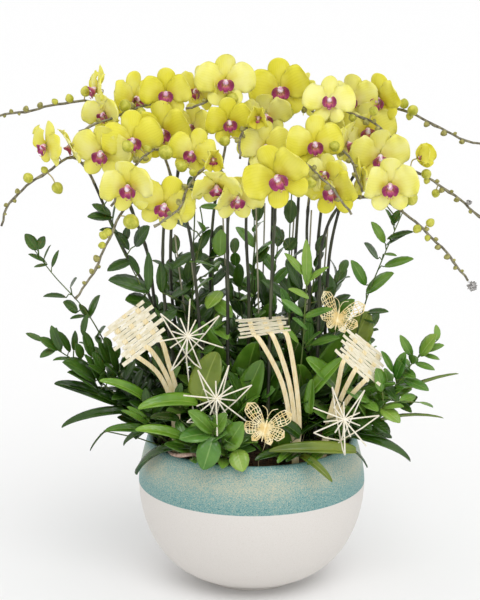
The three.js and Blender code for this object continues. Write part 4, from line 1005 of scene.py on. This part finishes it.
# %% Lip and column
def make_lip():
    middle = tepal(SEPAL_OUTLINE, 0.30, 0.20, 0.35, -0.30, 0.02, 2, 0, lip)
    middle.data.transform(Matrix.Translation((0, -0.05, 0.14)) @ turned(-90, "Z") @ turned(-26, "Y"))
    parts = [middle]
    for side in (-1, 1):
        lobe = tepal(LOBE_OUTLINE, 0.31, 0.40, 0.5, 0.35, 0.0, 1, 0, lip)
        set_at = Matrix.Translation((0.02 * side, -0.04, 0.07)) @ turned(90 - 92 * side, "Z")
        lobe.data.transform(set_at @ turned(-20, "Y") @ turned(14 * side, "X"))
        parts.append(lobe)
        curl = [Vector((0.02 * side, -0.32, 0.26)), Vector((0.06 * side, -0.37, 0.27)),
                Vector((0.09 * side, -0.34, 0.30)), Vector((0.07 * side, -0.31, 0.31))]
        parts.append(wire("tendril", [smooth_line(curl, 8)], TENDRIL, lip, lambda t: 1.1 - 0.7 * t, 1))
    return parts


def make_column():
    deselect_all()
    bpy.ops.mesh.primitive_uv_sphere_add(segments=16, ring_count=10, radius=1)
    nose = bpy.context.view_layer.objects.active
    nose.data.transform(Matrix.Translation((0, 0.02, 0.18)) @ turned(26, "X")
                        @ Matrix.Diagonal((0.105, 0.095, 0.15, 1)))
    pick(nose)
    bpy.ops.object.shade_smooth()
    return [coat(nose, column)]


# %% Whole flowers
def make_flower(name, lean, petal_curl, sepal_curl, seed, skin):
    """lean 0 is wide open; 55 is a half-open cup with its petals still standing forward."""
    dice = random.Random(seed)

    def jitter(spread):
        return dice.uniform(-spread, spread)

    top = tepal(SEPAL_OUTLINE, 0.98, 0.70, -0.16, sepal_curl + jitter(0.05), 0.02, 3, jitter(2), skin)
    parts = [set_tepal(top, jitter(4), lean * 0.8 + jitter(4), jitter(5), 0.02, -0.02)]
    for side in (-1, 1):
        lower = tepal(SEPAL_OUTLINE, 0.86, 0.60, -0.14, sepal_curl + jitter(0.06), 0.025, 3, jitter(3), skin)
        parts.append(set_tepal(lower, side * (146 + jitter(6)), lean * 0.8 + jitter(5), jitter(8),
                               0.02, -0.02))
        broad = tepal(PETAL_OUTLINE, 1.0, 1.10, -0.07 + jitter(0.05), petal_curl + jitter(0.08),
                      0.085, 5, jitter(3), skin)
        parts.append(set_tepal(broad, side * (74 + jitter(5)), lean + 5 + jitter(5),
                               side * jitter(6), 0.02, 0.012))
    parts += make_lip() + make_column()
    flower = join(name, parts)
    print(name, len(flower.data.polygons), "faces")
    return flower


OPEN_FLOWERS = [make_flower("open_flower_a", 4, -0.10, -0.12, 11, petal),
                make_flower("open_flower_b", 12, -0.02, -0.06, 12, deep_petal),
                make_flower("open_flower_c", 0, -0.18, -0.16, 13, petal),
                make_flower("open_flower_d", 16, 0.10, 0.02, 14, pale_petal),
                make_flower("open_flower_e", 9, -0.14, 0.04, 15, pale_petal)]
CUP_FLOWERS = [make_flower("cup_flower_a", 52, 0.16, 0.22, 21, deep_petal),
               make_flower("cup_flower_b", 44, 0.24, 0.16, 22, petal)]

# %% [markdown]
# ## Bud master
# A bud is a closed flower: a rounded egg with three faint seams where its sepals meet, so the sphere's
# meridians at the seams are drawn in a little.


# %% Bud master
def make_bud():
    deselect_all()
    bpy.ops.mesh.primitive_uv_sphere_add(segments=18, ring_count=12, radius=1)
    egg = bpy.context.view_layer.objects.active
    for vertex in egg.data.vertices:
        angle = math.atan2(vertex.co.y, vertex.co.x)
        seam = 1 - 0.05 * max(0.0, math.cos(3 * angle)) ** 6
        point = 1 + 0.22 * max(0.0, vertex.co.z) ** 3
        vertex.co = Vector((vertex.co.x * seam, vertex.co.y * seam, vertex.co.z * point))
    pick(egg)
    bpy.ops.object.shade_smooth()
    return egg


bud_master = make_bud()
print("bud", len(bud_master.data.polygons), "faces")

# %% [markdown]
# ## Leaf masters
# The orchid's strap leaf is long, thick and folded along its midrib; the cut sprays carry small pointed
# leaves. Both are unit blades that are bent into place one by one.


# %% Leaf masters
def pointed_outline(belly, taper):
    """A leaf's width along its run; a larger taper gives a longer point."""
    peak = max((i / 50) ** belly * (1 - i / 50) ** taper for i in range(51))
    return lambda t: t**belly * (1 - t) ** taper / peak


def leaf_master(name, rows, columns, outline, fold, camber, thickness):
    """A unit blade, folded along its midrib and cambered to each side of it."""
    sheet = blank(name, rows, columns)

    def rule(x, side):
        t = 0.5 - 0.5 * math.cos(x * math.pi)
        wide = outline(t)
        lift = fold * abs(side) * wide - camber * (side * wide) ** 2
        return Vector((t, side * wide / 2, lift * 0.1))

    form(sheet, rule)
    thicken(sheet, thickness)
    return sheet


strap_master = leaf_master("strap_leaf", 14, 6, pointed_outline(0.30, 0.54), 1.0, 0.45, 0.007)
small_master = leaf_master("small_leaf", 7, 4, pointed_outline(0.66, 0.74), 0.9, 0.5, 0.010)
blade_master = leaf_master("grass_leaf", 12, 2, pointed_outline(0.10, 0.45), 0.3, 0.0, 0.004)
bract_master = leaf_master("bract", 4, 2, pointed_outline(0.5, 0.8), 0.9, 0.4, 0.04)
# d and D are darker copies painted as shade, S a lighter copy painted as sunlight, g a paler green that is
# partly painted sheen.
GREENS = {"d": shade_painted_leaf, "m": mid_leaf, "f": fresh_leaf, "g": sheen_painted_leaf, "o": olive_leaf,
          "D": shade_painted_strap, "S": strap_leaf, "F": fresh_strap, "O": olive_leaf}
LIGHT_SIDE = heading(0, 58)
LEAF_STALK_R = 1.1 * MM
SMALL_FULLNESS = 1.18


def lay_leaf(master, skin, origin, run, up, length, width, bend):
    leaf = copy_of(master)
    bend_into(leaf.data, basis(origin, run, up), length, width, bend)
    return coat(leaf, skin)


def lay_between(master, skin, base, tip, width, bend):
    """A leaf from base to tip whose upper face looks up and forward; it bows by bend degrees."""
    chord = (tip - base).normalized()
    facing = LIGHT_SIDE + Vector((DICE.uniform(-0.3, 0.3), DICE.uniform(-0.2, 0.2), 0))
    up = (facing - chord * facing.dot(chord)).normalized()
    half = math.radians(bend if abs(bend) > 1 else 1) / 2
    length = (tip - base).length * half / math.sin(half)
    run = chord * math.cos(half) - up * math.sin(half)
    normal = up * math.cos(half) + chord * math.sin(half)
    return lay_leaf(master, skin, base, run, normal, length, width, bend)


def placed_leaves(name, line):
    """The leaves planned one by one for a piece, each on its own short stalk from the line."""
    leaves, stalks = [], []
    for bx, by, bz, tx, ty, tz, width, bend, green in PLACED_LEAVES.get(name, []):
        base, tip = mm((bx, by, bz)), mm((tx, ty, tz))
        own = green.isupper()
        master, full = (strap_master, 1.0) if own else (small_master, SMALL_FULLNESS)
        leaves.append(lay_between(master, GREENS[green], base, tip, width * full * MM, bend))
        gap = (base - nearest_on(line, base)).length
        root = nearest_on(line, base - Vector((0, 0, 0.6 * gap)))
        stalks.append([root, root.lerp(base, 0.55) + Vector((0, 0, 0.004)), base])
    if stalks:
        leaves.append(wire("leaf_stalks", stalks, LEAF_STALK_R, leaf_stem, roundness=1))
    return leaves


leaf_masters = [strap_master, small_master, blade_master, bract_master]
print("leaf masters", len(leaf_masters))

# %% [markdown]
# ## Orchid stems
# Each stem rises from the mix, arches over and thins to its tip. Nodes stand out as slight rings every
# few centimetres, and the arching part turns a little at each bud. Flowers hang on their own short
# stalks, and the buds get smaller towards the tip, where the cane is drier and paler.

# %% Stems, buds and flowers
STEM_R = 3.3 * MM
STALK_R = 1.1 * MM
STALK_TURN = 9 * MM
STEM_POINTS = 70
STEM_TAPER = 0.42
NODE_SPACING = 62 * MM
NODE_SWELL = 0.26
NODE_SHORTNESS = 0.004
FLOWER_SPAN = 88 * MM
KNOT_FIBRES = 26
KNOT_FIBRE_R = 0.8 * MM
WITHERED_KNOTS = {14: ((351, -117, 537), 9.5), 13: ((352, -46, 660), 5)}
TIP_FROM = 0.83
TIP_TO = 0.99
ODD_BUDS_MISSING = 0.6
TIP_BUD_R = 6.2 * MM
ZIGZAG_FROM = 0.62
TIP_BARK_FROM = 0.66
ZIGZAG = 1.1 * MM


def stem_swell(length):
    rings = length / NODE_SPACING

    def swell(t):
        taper = 1.0 - STEM_TAPER * t
        ring = NODE_SWELL * math.exp(-((t * rings) % 1.0 - 0.5) ** 2 / NODE_SHORTNESS)
        return taper + ring

    return swell


def zigzag(line):
    """The arching part of a stem turns a little at every bud."""
    bent = list(line)
    for i in range(2, len(line) - 1):
        share = i / (len(line) - 1)
        if share > ZIGZAG_FROM:
            along = (line[i + 1] - line[i - 1]).normalized()
            across = along.cross(heading(0, 0)).normalized()
            swing = ZIGZAG * (share - ZIGZAG_FROM) / (1 - ZIGZAG_FROM)
            bent[i] = line[i] + across * (swing * (-1) ** (i // 3))
    return bent


def stalk_to(line, target, behind=None):
    """A short stalk from the stem; it reaches a flower from behind and arches over to a bud."""
    start = nearest_on(line, (behind or target) + Vector((0, 0, -STALK_TURN if behind else 0)))
    arched = start.lerp(target, 0.5) + Vector((0, 0, 0.15 * (target - start).length))
    return smooth_line([start, behind or arched, target], 8)


def place_flower(name, plan, line, stalks):
    right, back, up, turn, tilt, roll, size, kind = plan
    centre = mm((right, back, up))
    face = heading(turn, tilt)
    upright = Quaternion(face, math.radians(-roll)) @ heading(turn, tilt + 90)
    span = FLOWER_SPAN / 2 * size
    stretch = Matrix.Diagonal((span * DICE.uniform(0.96, 1.05), span * DICE.uniform(0.96, 1.05), span, 1))
    nod = turned(DICE.uniform(-7, 7), "Z")
    place = basis(centre, upright.cross(face), face) @ nod @ stretch
    master = DICE.choice(CUP_FLOWERS if kind == "cup" else OPEN_FLOWERS)
    flower = copy_of(master, place)
    flower.name = name
    flower.data.name = name
    stalks.append(stalk_to(line, centre + face * (0.03 * span), centre - face * STALK_TURN))
    return hand_over(flower, "orchid_spike")


def any_direction():
    return Vector((DICE.gauss(0, 1), DICE.gauss(0, 1), DICE.gauss(0, 1))).normalized()


def withered_knot(place, size):
    """A dried flower: a little tangle of grey fibres."""
    fibres = []
    for _ in range(KNOT_FIBRES):
        ends = [any_direction() for _ in range(3)]
        bends = [mm(place) + end * (size * MM * DICE.uniform(0.5, 1.0)) for end in ends]
        fibres.append(smooth_line(bends, 8))
    return wire("withered_knot", fibres, KNOT_FIBRE_R, withered, roundness=1)


def place_bud(line, centre, radius, skin):
    outward = centre - nearest_on(line, centre)
    outward = outward.normalized() if outward.length > 1e-6 else Vector((0, 0, 1))
    place = Matrix.Translation(centre) @ outward.to_track_quat("Z", "Y").to_matrix().to_4x4()
    return coat(copy_of(bud_master, place @ Matrix.Diagonal((radius, radius, radius, 1))), skin)


def tip_buds(line, count):
    """Small buds and dry bracts on either side of the bare end of a stem."""
    buds = []
    for i in range(count * 2):
        odd = i % 2
        if odd and DICE.random() < ODD_BUDS_MISSING:
            continue
        share = i / (count * 2)
        place, along = spot_on(line, TIP_FROM + (TIP_TO - TIP_FROM) * share)
        across = along.cross(heading(0, 0)).normalized() * (-1 if odd else 1)
        radius = TIP_BUD_R * (1 - 0.5 * share) * DICE.uniform(0.85, 1.15) * (0.7 if odd else 1.0)
        skin = bud_skin if share < 0.25 and not odd else young_bud_skin
        buds.append(place_bud(line, place + across * radius * 0.9, radius, skin))
        tip = place + (along + across) * radius * 1.1
        buds.append(lay_between(bract_master, bract_skin, place - along * 0.002, tip, radius * 1.5, 25))
    return buds


for number, plan in enumerate(SPIKES, 1):
    points = [above(plan["foot"]), above(plan["foot"], 25), *map(mm, plan["path"])]
    line = zigzag(smooth_line(points, STEM_POINTS))
    length = sum((q - p).length for p, q in zip(line, line[1:]))
    stem = wire(f"orchid_stem_{number:02d}", [line], STEM_R, stem_bark, stem_swell(length), 3)
    stalks = []
    for i, flower_plan in enumerate(plan["flowers"], 1):
        place_flower(f"flower_{number:02d}_{i}", flower_plan, line, stalks)
    buds = []
    for *place, radius in plan["buds"]:
        buds.append(place_bud(line, mm(place), radius * MM, bud_skin))
        stalks.append(stalk_to(line, mm(place)))
    buds += tip_buds(line, plan["tip_buds"])
    buds.append(wire("stalks", stalks, STALK_R, stalk_skin, roundness=1))
    if number in WITHERED_KNOTS:
        buds.append(withered_knot(*WITHERED_KNOTS[number]))
    hand_over(join(f"orchid_buds_{number:02d}", buds), "orchid_spike")
    stem.data.materials.append(tip_bark)
    for face in stem.data.polygons:
        if line.index(nearest_on(line, face.center)) > TIP_BARK_FROM * STEM_POINTS:
            face.material_index = 1
    hand_over(stem, "orchid_spike", f"spike_{number:02d}")

# %% [markdown]
# ## Orchid leaves
# Each orchid plant has a fan of strap leaves from a short neck. In the full crowns a younger, shorter
# leaf is added beside each planned one, so that the fan closes up; open crowns go without. The single
# leaves that hang over the rim come last.

# %% Orchid leaves
CROWN_H = 16
CROWN_R = 9
YOUNGER = 0.84
WIDENED = 1.12
OPEN_CROWNS = (1, 2, 3, 6, 8, 9)

for number, plan in enumerate(CROWNS, 1):
    name = f"orchid_leaves_{number:02d}"
    neck = [above(plan["foot"]), above(plan["foot"], CROWN_H)]
    parts = [wire("neck", [neck], CROWN_R * MM * 0.8, leaf_stem)]
    for turn, rise, droop, length, width in plan["leaves"]:
        for extra in range(1 if number in OPEN_CROWNS else 2):
            swung = turn + extra * DICE.choice((-26, 24)) + DICE.uniform(-4, 4)
            raised = rise - extra * 7 + DICE.uniform(-3, 3)
            scale = YOUNGER if extra else 1.0
            base = above(plan["foot"], CROWN_H - 6) + heading(swung, 0) * (CROWN_R * 0.5 * MM)
            run, up = heading(swung, raised), heading(swung, raised + 90)
            tilted = Quaternion(run, math.radians(DICE.uniform(-18, 18))) @ up
            # Crown leaves take the painted-shade copy or, twice as often, the painted-sunlit copy, at
            # random.
            skin = GREENS[DICE.choice("DSS")]
            parts.append(lay_leaf(strap_master, skin, base, run, tilted, length * scale * MM,
                                  width * scale * WIDENED * MM, droop * (1.1 if extra else 1.0)))
    parts += placed_leaves(name, neck)
    hand_over(join(f"orchid_leaf_fan_{number:02d}", parts), "orchid_leaf", name)

# %% [markdown]
# ## Leafy sprays
# Cut branches of ruscus and similar greens. Where a spray has no single leaves, and on every side
# shoot, leaves go round the twig by the golden angle, turn their faces to the light, and get smaller
# towards the tip. Most sprays fork into side shoots: together they make the mass that hides the bark.

# %% Leafy sprays
GOLDEN_ANGLE = 137.5
SHOOT_LEAF = (56, 27)
SHOOT_LEAVES = 10
# Sprays not listed take only d, the darker green painted as shade; g is partly painted sheen.
SPRAY_GREENS = {"ruscus_right_low": "mm", "ruscus_right_front": "mm", "rosette_front": "mg",
                "foliage_mid_left": "md", "foliage_tall_mid": "dg"}
SIDE_SHOOTS = {
    "foliage_mid_left": [(-152, -56, 380), (-62, -84, 372), (-122, -96, 340), (-96, -60, 430),
                         (-60, -40, 450), (-34, -90, 330)],
    "foliage_tall_left": [(-130, 40, 560), (-64, 50, 570), (-152, 16, 440), (-72, 30, 440),
                          (-128, 44, 480), (-108, 8, 520)],
    "foliage_tall_mid": [(-30, 40, 560), (44, 50, 570), (4, 60, 620), (-32, 6, 430), (30, 20, 460),
                         (0, 50, 480), (50, -40, 390), (-16, -66, 370), (16, -84, 340)],
    "foliage_tall_right": [(112, 40, 560), (150, 20, 530), (104, -34, 430), (40, -58, 400),
                           (92, 20, 460), (142, -24, 410), (112, -78, 360), (76, -96, 340)],
    "foliage_back_left": [(-140, 110, 500), (-66, 120, 510), (-164, 96, 400), (-62, 118, 430),
                          (-112, 92, 450), (-22, 112, 440)],
    "foliage_back_right": [(146, 100, 490), (66, 120, 510), (196, 60, 420), (164, 96, 400),
                           (62, 118, 430), (112, 92, 450), (30, 104, 440)],
    "ruscus_left_inner": [(-204, 30, 430), (-172, 50, 450), (-202, -66, 330), (-172, -98, 330),
                          (-216, -20, 350), (-180, 20, 400)],
    "ruscus_left_low": [(-214, -54, 320), (-236, -30, 370)],
    "ruscus_right_front": [(172, -96, 340), (200, -64, 330), (152, -72, 380)],
    "ruscus_right_low": [(214, -46, 350), (186, -24, 400), (240, -70, 360)],
    "rosette_front": [(-110, -140, 290), (-20, -158, 290)],
}


def leafy(line, leaf, count, start, greens):
    """Leaves along a twig, each turned to the light."""
    leaves = []
    for i in range(count):
        share = i / (count - 1)
        place, along = spot_on(line, start + (0.99 - start) * share)
        outward = heading(GOLDEN_ANGLE * i + DICE.uniform(-15, 15), 0)
        run = (outward + along * (0.55 + share) + LIGHT_SIDE * 0.2).normalized()
        facing = LIGHT_SIDE + along * 0.6
        up = (facing - run * run.dot(facing)).normalized()
        size = (1 - 0.30 * share * share) * DICE.uniform(0.8, 1.12)
        leaves.append(lay_leaf(small_master, GREENS[DICE.choice(greens)], place, run, up,
                               leaf[0] * size * MM, leaf[1] * size * MM, DICE.uniform(-45, -8)))
    return leaves


for plan in SPRAYS:
    name = plan["name"]
    greens = SPRAY_GREENS.get(name, "dd")
    foot = [above(plan["foot"]), above(plan["foot"], 15)]
    line = smooth_line([*foot, *map(mm, plan["path"])], 24)
    twigs = [line]
    leaves = placed_leaves(name, line)
    if name not in PLACED_LEAVES or name in SIDE_SHOOTS:
        leaves += leafy(line, plan["leaf"], plan["count"], 0.25, greens)
    for top in SIDE_SHOOTS.get(name, []):
        start = line[2]
        side = smooth_line([start, start.lerp(mm(top), 0.5) + Vector((0, 0, -0.006)), mm(top)], 12)
        twigs.append(side)
        leaves += leafy(side, SHOOT_LEAF, SHOOT_LEAVES, 0.3, greens)
    twig = wire("twig", twigs, plan["r"] * MM, leaf_stem, lambda t: 1.0 - 0.5 * t)
    hand_over(join(f"{name}_spray", [twig, *leaves]), "foliage", name)
print("sprays", len(SPRAYS))

# %% [markdown]
# ## Grass
# Two tufts of thin blades, one for each row of the plan, fan out of short sheaths at the rim.

# %% Grass
for plan in GRASSES:
    parts = [wire("sheath", [[above(plan["foot"]), above(plan["foot"], CROWN_H)]], 3 * MM, leaf_stem)]
    for turn, rise, droop, length, width in plan["leaves"]:
        parts.append(lay_leaf(blade_master, grass_skin, above(plan["foot"], CROWN_H - 4),
                              heading(turn, rise), heading(turn, rise + 90), length * MM, width * MM, droop))
    hand_over(join(f"{plan['name']}_blades", parts), "grass_blade", plan["name"])
print("grass tufts", len(GRASSES))

# %% [markdown]
# ## Woven bamboo fans
# Ten bleached strips of uneven width lie side by side, each slid a little along its neighbour. Three
# longer natural strips are woven through them and only surface here and there; below the head they run
# on as bowed legs down to the mix.

# %% Bamboo fans
FAN_STRIP_L = 78 * MM
FAN_STRIPS = 10
BAMBOO_W = 7 * MM
LEG_W = 7.5 * MM
STRIP_T = 0.7 * MM
SURFACE = 1.1 * MM
SLIDES = [-9, 2, -4, 8, -7, 4, -1, 9, -6, 3]
STRIP_WIDTHS = [0.84, 0.94, 0.88, 0.96, 0.9, 0.82, 0.95, 0.87, 0.93, 0.85]
FAN_SPREAD = (1.5, 9.0, 5.0)
LEG_BOWS = ((5, 0, 8), (10, 0, 4), (-2, 0, 4))
LEG_SHARE = 0.3
WEAVE_STEPS = 54


def ribbon(name, line, across, width, skin):
    """A flat strip along a line; across gives the direction of its width."""
    strip = blank(name, len(line) - 1, 1)
    for vertex in strip.data.vertices:
        i = round(vertex.co.x * (len(line) - 1))
        ahead = (line[min(i + 1, len(line) - 1)] - line[max(i - 1, 0)]).normalized()
        wide = (across - ahead * across.dot(ahead)).normalized()
        vertex.co = line[i] + wide * (vertex.co.y * width)
    merge_and_face_out(strip, 1e-7)
    apply_modifier(strip, "SOLIDIFY", thickness=STRIP_T, offset=0.0)
    return coat(strip, skin)


def leg_height(place, side):
    """A leg lies behind the head and comes to the front at every third strip."""
    over = round(place / BAMBOO_W + side) % 3 == 0
    return SURFACE if over else -SURFACE * 0.7


for number, plan in enumerate(FANS, 1):
    head, along = mm(plan["head"]), Vector(plan["along"]).normalized()
    at = basis(head, along, Vector(plan["face"]))
    up = at.col[1].to_3d()
    pitch = LEG_SHARE * FAN_STRIP_L
    parts = []
    for i in range(FAN_STRIPS):
        y = (i - (FAN_STRIPS - 1) / 2) * BAMBOO_W
        slide = SLIDES[(i * number) % len(SLIDES)] * MM
        skew = math.tan(math.radians(DICE.uniform(-1, 1) * FAN_SPREAD[number - 1]))
        length = FAN_STRIP_L * DICE.uniform(0.92, 1.06)
        runs = [slide + length * (k / 8 - 0.5) for k in range(9)]
        line = [at @ Vector((x, y + x * skew, 0.3 * MM * math.cos(9 * k + i))) for k, x in enumerate(runs)]
        width = BAMBOO_W * STRIP_WIDTHS[(i + number) % len(STRIP_WIDTHS)]
        parts.append(ribbon("cross_strip", line, up, width, bamboo_pale))
    knot = mm(plan["knot"])
    half = BAMBOO_W * (FAN_STRIPS - 1) / 2
    bow = mm(LEG_BOWS[number - 1])
    for side in (-1, 0, 1):
        heights = [half + BAMBOO_W * 0.3 - 2 * half * k / WEAVE_STEPS for k in range(WEAVE_STEPS + 1)]
        woven = [at @ Vector((side * pitch, y, leg_height(y + half, side))) for y in heights]
        top = woven[-1]
        leave = top - up * (BAMBOO_W * 1.2) + bow * 0.35
        middle = top.lerp(knot, 0.5) + bow
        near = knot + along * (side * BAMBOO_W * 0.95)
        foot = above(plan["foot"]) + along * (side * BAMBOO_W * 0.3)
        leg = smooth_line([top, leave, middle, near, foot + Vector((0, 0, 12 * MM)), foot], 40)
        parts.append(ribbon("leg_strip", woven + leg[1:], along, LEG_W, bamboo_tan))
    hand_over(join(f"woven_fan_{number:02d}", parts), "bamboo_strip", f"bamboo_fan_{number:02d}")
print("fans", len(FANS))

# %% [markdown]
# ## Straw stars
# Straight rattan sticks all cross at one hub, long on one side and short on the other. From most of the
# long tips a second stick runs back to the binding behind the hub, where the leg begins.

# %% Straw stars
RATTAN_R = 1.2 * MM
STAR_RAY = 57 * MM
STAR_STICKS = 7
STAR_SHORT = 0.55

for number, plan in enumerate(STARS, 1):
    centre, face = mm(plan["centre"]), heading(plan["turn"], plan["tilt"])
    up = heading(plan["turn"], plan["tilt"] + 90)
    side = up.cross(face)
    binding = centre - face * (20 * MM) - Vector((0, 0, 32 * MM))
    canes = []
    for i in range(STAR_STICKS):
        angle = math.radians(plan["spin"] + 360 * i / STAR_STICKS + DICE.uniform(-7, 7))
        out = (up * math.cos(angle) + side * math.sin(angle) + face * DICE.uniform(-0.12, 0.30)).normalized()
        tip = centre + out * (STAR_RAY * DICE.uniform(0.92, 1.08))
        lift = face * (RATTAN_R * (i - STAR_STICKS / 2) * 0.5)
        canes.append([tip, centre + lift, centre - out * (STAR_RAY * STAR_SHORT * DICE.uniform(0.8, 1.1))])
        if i % 3 != 2:
            canes.append([tip, tip.lerp(binding, 0.5) + out * (4 * MM), binding])
    canes.append(smooth_line([centre, binding, above(plan["foot"], 12), above(plan["foot"])], 16))
    star = wire(f"straw_star_{number:02d}", canes, RATTAN_R, rattan_pale, roundness=1)
    hand_over(star, "rattan", f"rattan_star_{number:02d}")
print("stars", len(STARS))

# %% [markdown]
# ## Gilt butterflies
# Stamped openwork: three pairs of lace wings on a small body, on a thin wire. Each wing is a blank formed
# to its outline, its inner points shifted at random, and the Wireframe modifier leaves only the bars.

# %% Butterflies
WING_SPAN = 76 * MM
LACE_BAR = 1.5 * MM
WING_OUTLINE = full_outline(0.22, 0.85, 2.6)
WING_RISE = 0.10
# Angle from the head, length and width as shares of the half span, and lift towards the front
WING_PAIRS = ((52, 1.30, 0.60, 0.3), (106, 0.95, 0.52, 0.2), (150, 0.80, 0.30, 0.1))
BODY_R = 2.4 * MM
HOLDER_R = 0.6 * MM

gilt = flushed("gilt_lace_satin", 0.40, 1.5, 90.0, 2.0, [(0.35, "#EAD394"), (0.65, "#FAF0CC")],
               Metallic=0.15)


def lace_wing(length, width, place):
    sheet = blank("lace_wing", 7, 5)
    dice = random.Random(3)

    def rule(x, side):
        inner = 0.0 < x < 1.0 and abs(side) < 0.99
        x2 = x + (dice.uniform(-0.05, 0.05) if inner else 0.0)
        side2 = side + (dice.uniform(-0.12, 0.12) if inner else 0.0)
        t = min(max(x2, 0), 1)
        return Vector((t * length, side2 * WING_OUTLINE(t) * width / 2, WING_RISE * length * t * t))

    form(sheet, rule)
    merge_and_face_out(sheet, 1e-5)
    apply_modifier(sheet, "WIREFRAME", thickness=LACE_BAR, use_boundary=True)
    sheet.data.transform(place)
    return coat(sheet, gilt)


for number, plan in enumerate(BUTTERFLIES, 1):
    centre, face = mm(plan["centre"]), heading(plan["turn"], plan["tilt"])
    up = Quaternion(face, math.radians(-plan["spin"])) @ heading(plan["turn"], plan["tilt"] + 90)
    side = up.cross(face)
    half = WING_SPAN / 2
    parts = []
    for angle, length, width, lift in WING_PAIRS:
        for flank in (side, -side):
            swing = math.radians(angle)
            run = up * math.cos(swing) + flank * math.sin(swing) + face * lift
            parts.append(lace_wing(half * length, half * width, basis(centre, run, face)))
    body = [centre - up * half * 0.6, centre, centre + up * half * 0.5]
    parts.append(wire("body", [smooth_line(body, 12)], BODY_R, gilt,
                      lambda t: 0.35 + math.sin(math.pi * t) * 0.65))
    feelers = [smooth_line([body[2], body[2] + up * half * 0.3 + side * s * half * 0.12,
                            body[2] + up * half * 0.42 + side * s * half * 0.34], 8) for s in (-1, 1)]
    behind = centre - face * (14 * MM) - Vector((0, 0, 24 * MM))
    holder = smooth_line([centre, behind, above(plan["foot"], 12), above(plan["foot"])], 16)
    parts.append(wire("feelers_and_holder", [*feelers, holder], HOLDER_R, gilt, roundness=1))
    hand_over(join(f"gilt_butterfly_{number:02d}", parts), "gilt_wire", f"butterfly_{number:02d}")
print("butterflies", len(BUTTERFLIES))

# %% [markdown]
# ## Stakes and the aerial root
# Eight thin canes hold up the tallest stems, and one grey root arches over the front of the mix.

# %% Stakes and the aerial root
STAKE_R = 1.5 * MM
ROOT_R = 3.2 * MM
ROOT_POINTS = [above((-0.86, -0.30), 5), mm((-120, -146, 262)), mm((-92, -156, 266)),
               above((-0.34, -0.92), 5)]


def knobbly(t):
    return 1 + 0.12 * math.sin(23 * t) * math.cos(9 * t)


for number, plan in enumerate(STAKES, 1):
    line = smooth_line([above(plan["foot"]), above(plan["foot"], 12), mm(plan["top"])], 20)
    stake = wire(f"support_stake_{number:02d}", [line], STAKE_R, stake_cane, lambda t: 1.0 - 0.12 * t)
    hand_over(stake, "plant_stake", f"stake_{number:02d}")

root = wire("aerial_root", [smooth_line(ROOT_POINTS, 40)], ROOT_R, twig_bark, knobbly)
hand_over(root, "root_twig", "root_twig")

for master in [*OPEN_FLOWERS, *CUP_FLOWERS, bud_master, *leaf_masters]:
    bpy.data.objects.remove(master)

# %% [markdown]
# ## Studio
# A plain pale floor under an even bright surround, as in a light tent. A wide soft key high in front
# and a weaker, wider fill from the front right shine from far away, so the floor keeps one even tone.

# %% Floor and light
FLOOR_TONE = "#F2F2F2"
SURROUND_TONE = "#F9F9F9"
SURROUND_STRENGTH = 0.92
FLOOR_R = 30
FLOOR_DROP = 0.5 * MM
deselect_all()
bpy.ops.mesh.primitive_circle_add(vertices=64, radius=FLOOR_R, fill_type="NGON",
                                  location=(0, 0, -FLOOR_DROP))
floor = bpy.context.view_layer.objects.active
floor.name = "studio_floor"
paper = bpy.data.materials.new("studio_floor_paper")
paper.use_nodes = True
paper_shader = paper.node_tree.nodes["Principled BSDF"]
paper_shader.inputs["Base Color"].default_value = linear(FLOOR_TONE)
paper_shader.inputs["Roughness"].default_value = 1.0
coat(floor, paper)

world = bpy.data.worlds.new("studio")
world.use_nodes = True
background = world.node_tree.nodes["Background"]
background.inputs["Color"].default_value = linear(SURROUND_TONE)
background.inputs["Strength"].default_value = SURROUND_STRENGTH
bpy.context.scene.world = world
bpy.context.scene.view_settings.view_transform = "Standard"


def soft_lamp(name, turn, rise, power, softness):
    """A distant lamp, wide enough to give soft edges; softness is its width in degrees."""
    data = bpy.data.lights.new(name, "SUN")
    data.energy = power
    data.angle = math.radians(softness)
    lamp = bpy.data.objects.new(name, data)
    lamp.rotation_euler = heading(turn, rise).to_track_quat("Z", "Y").to_euler()
    bpy.context.scene.collection.objects.link(lamp)
    return lamp


soft_lamp("key_lamp", 10, 54, 0.85, 36)
soft_lamp("fill_lamp", 55, 30, 0.22, 60)

# %% Update the scene
bpy.context.view_layer.update()
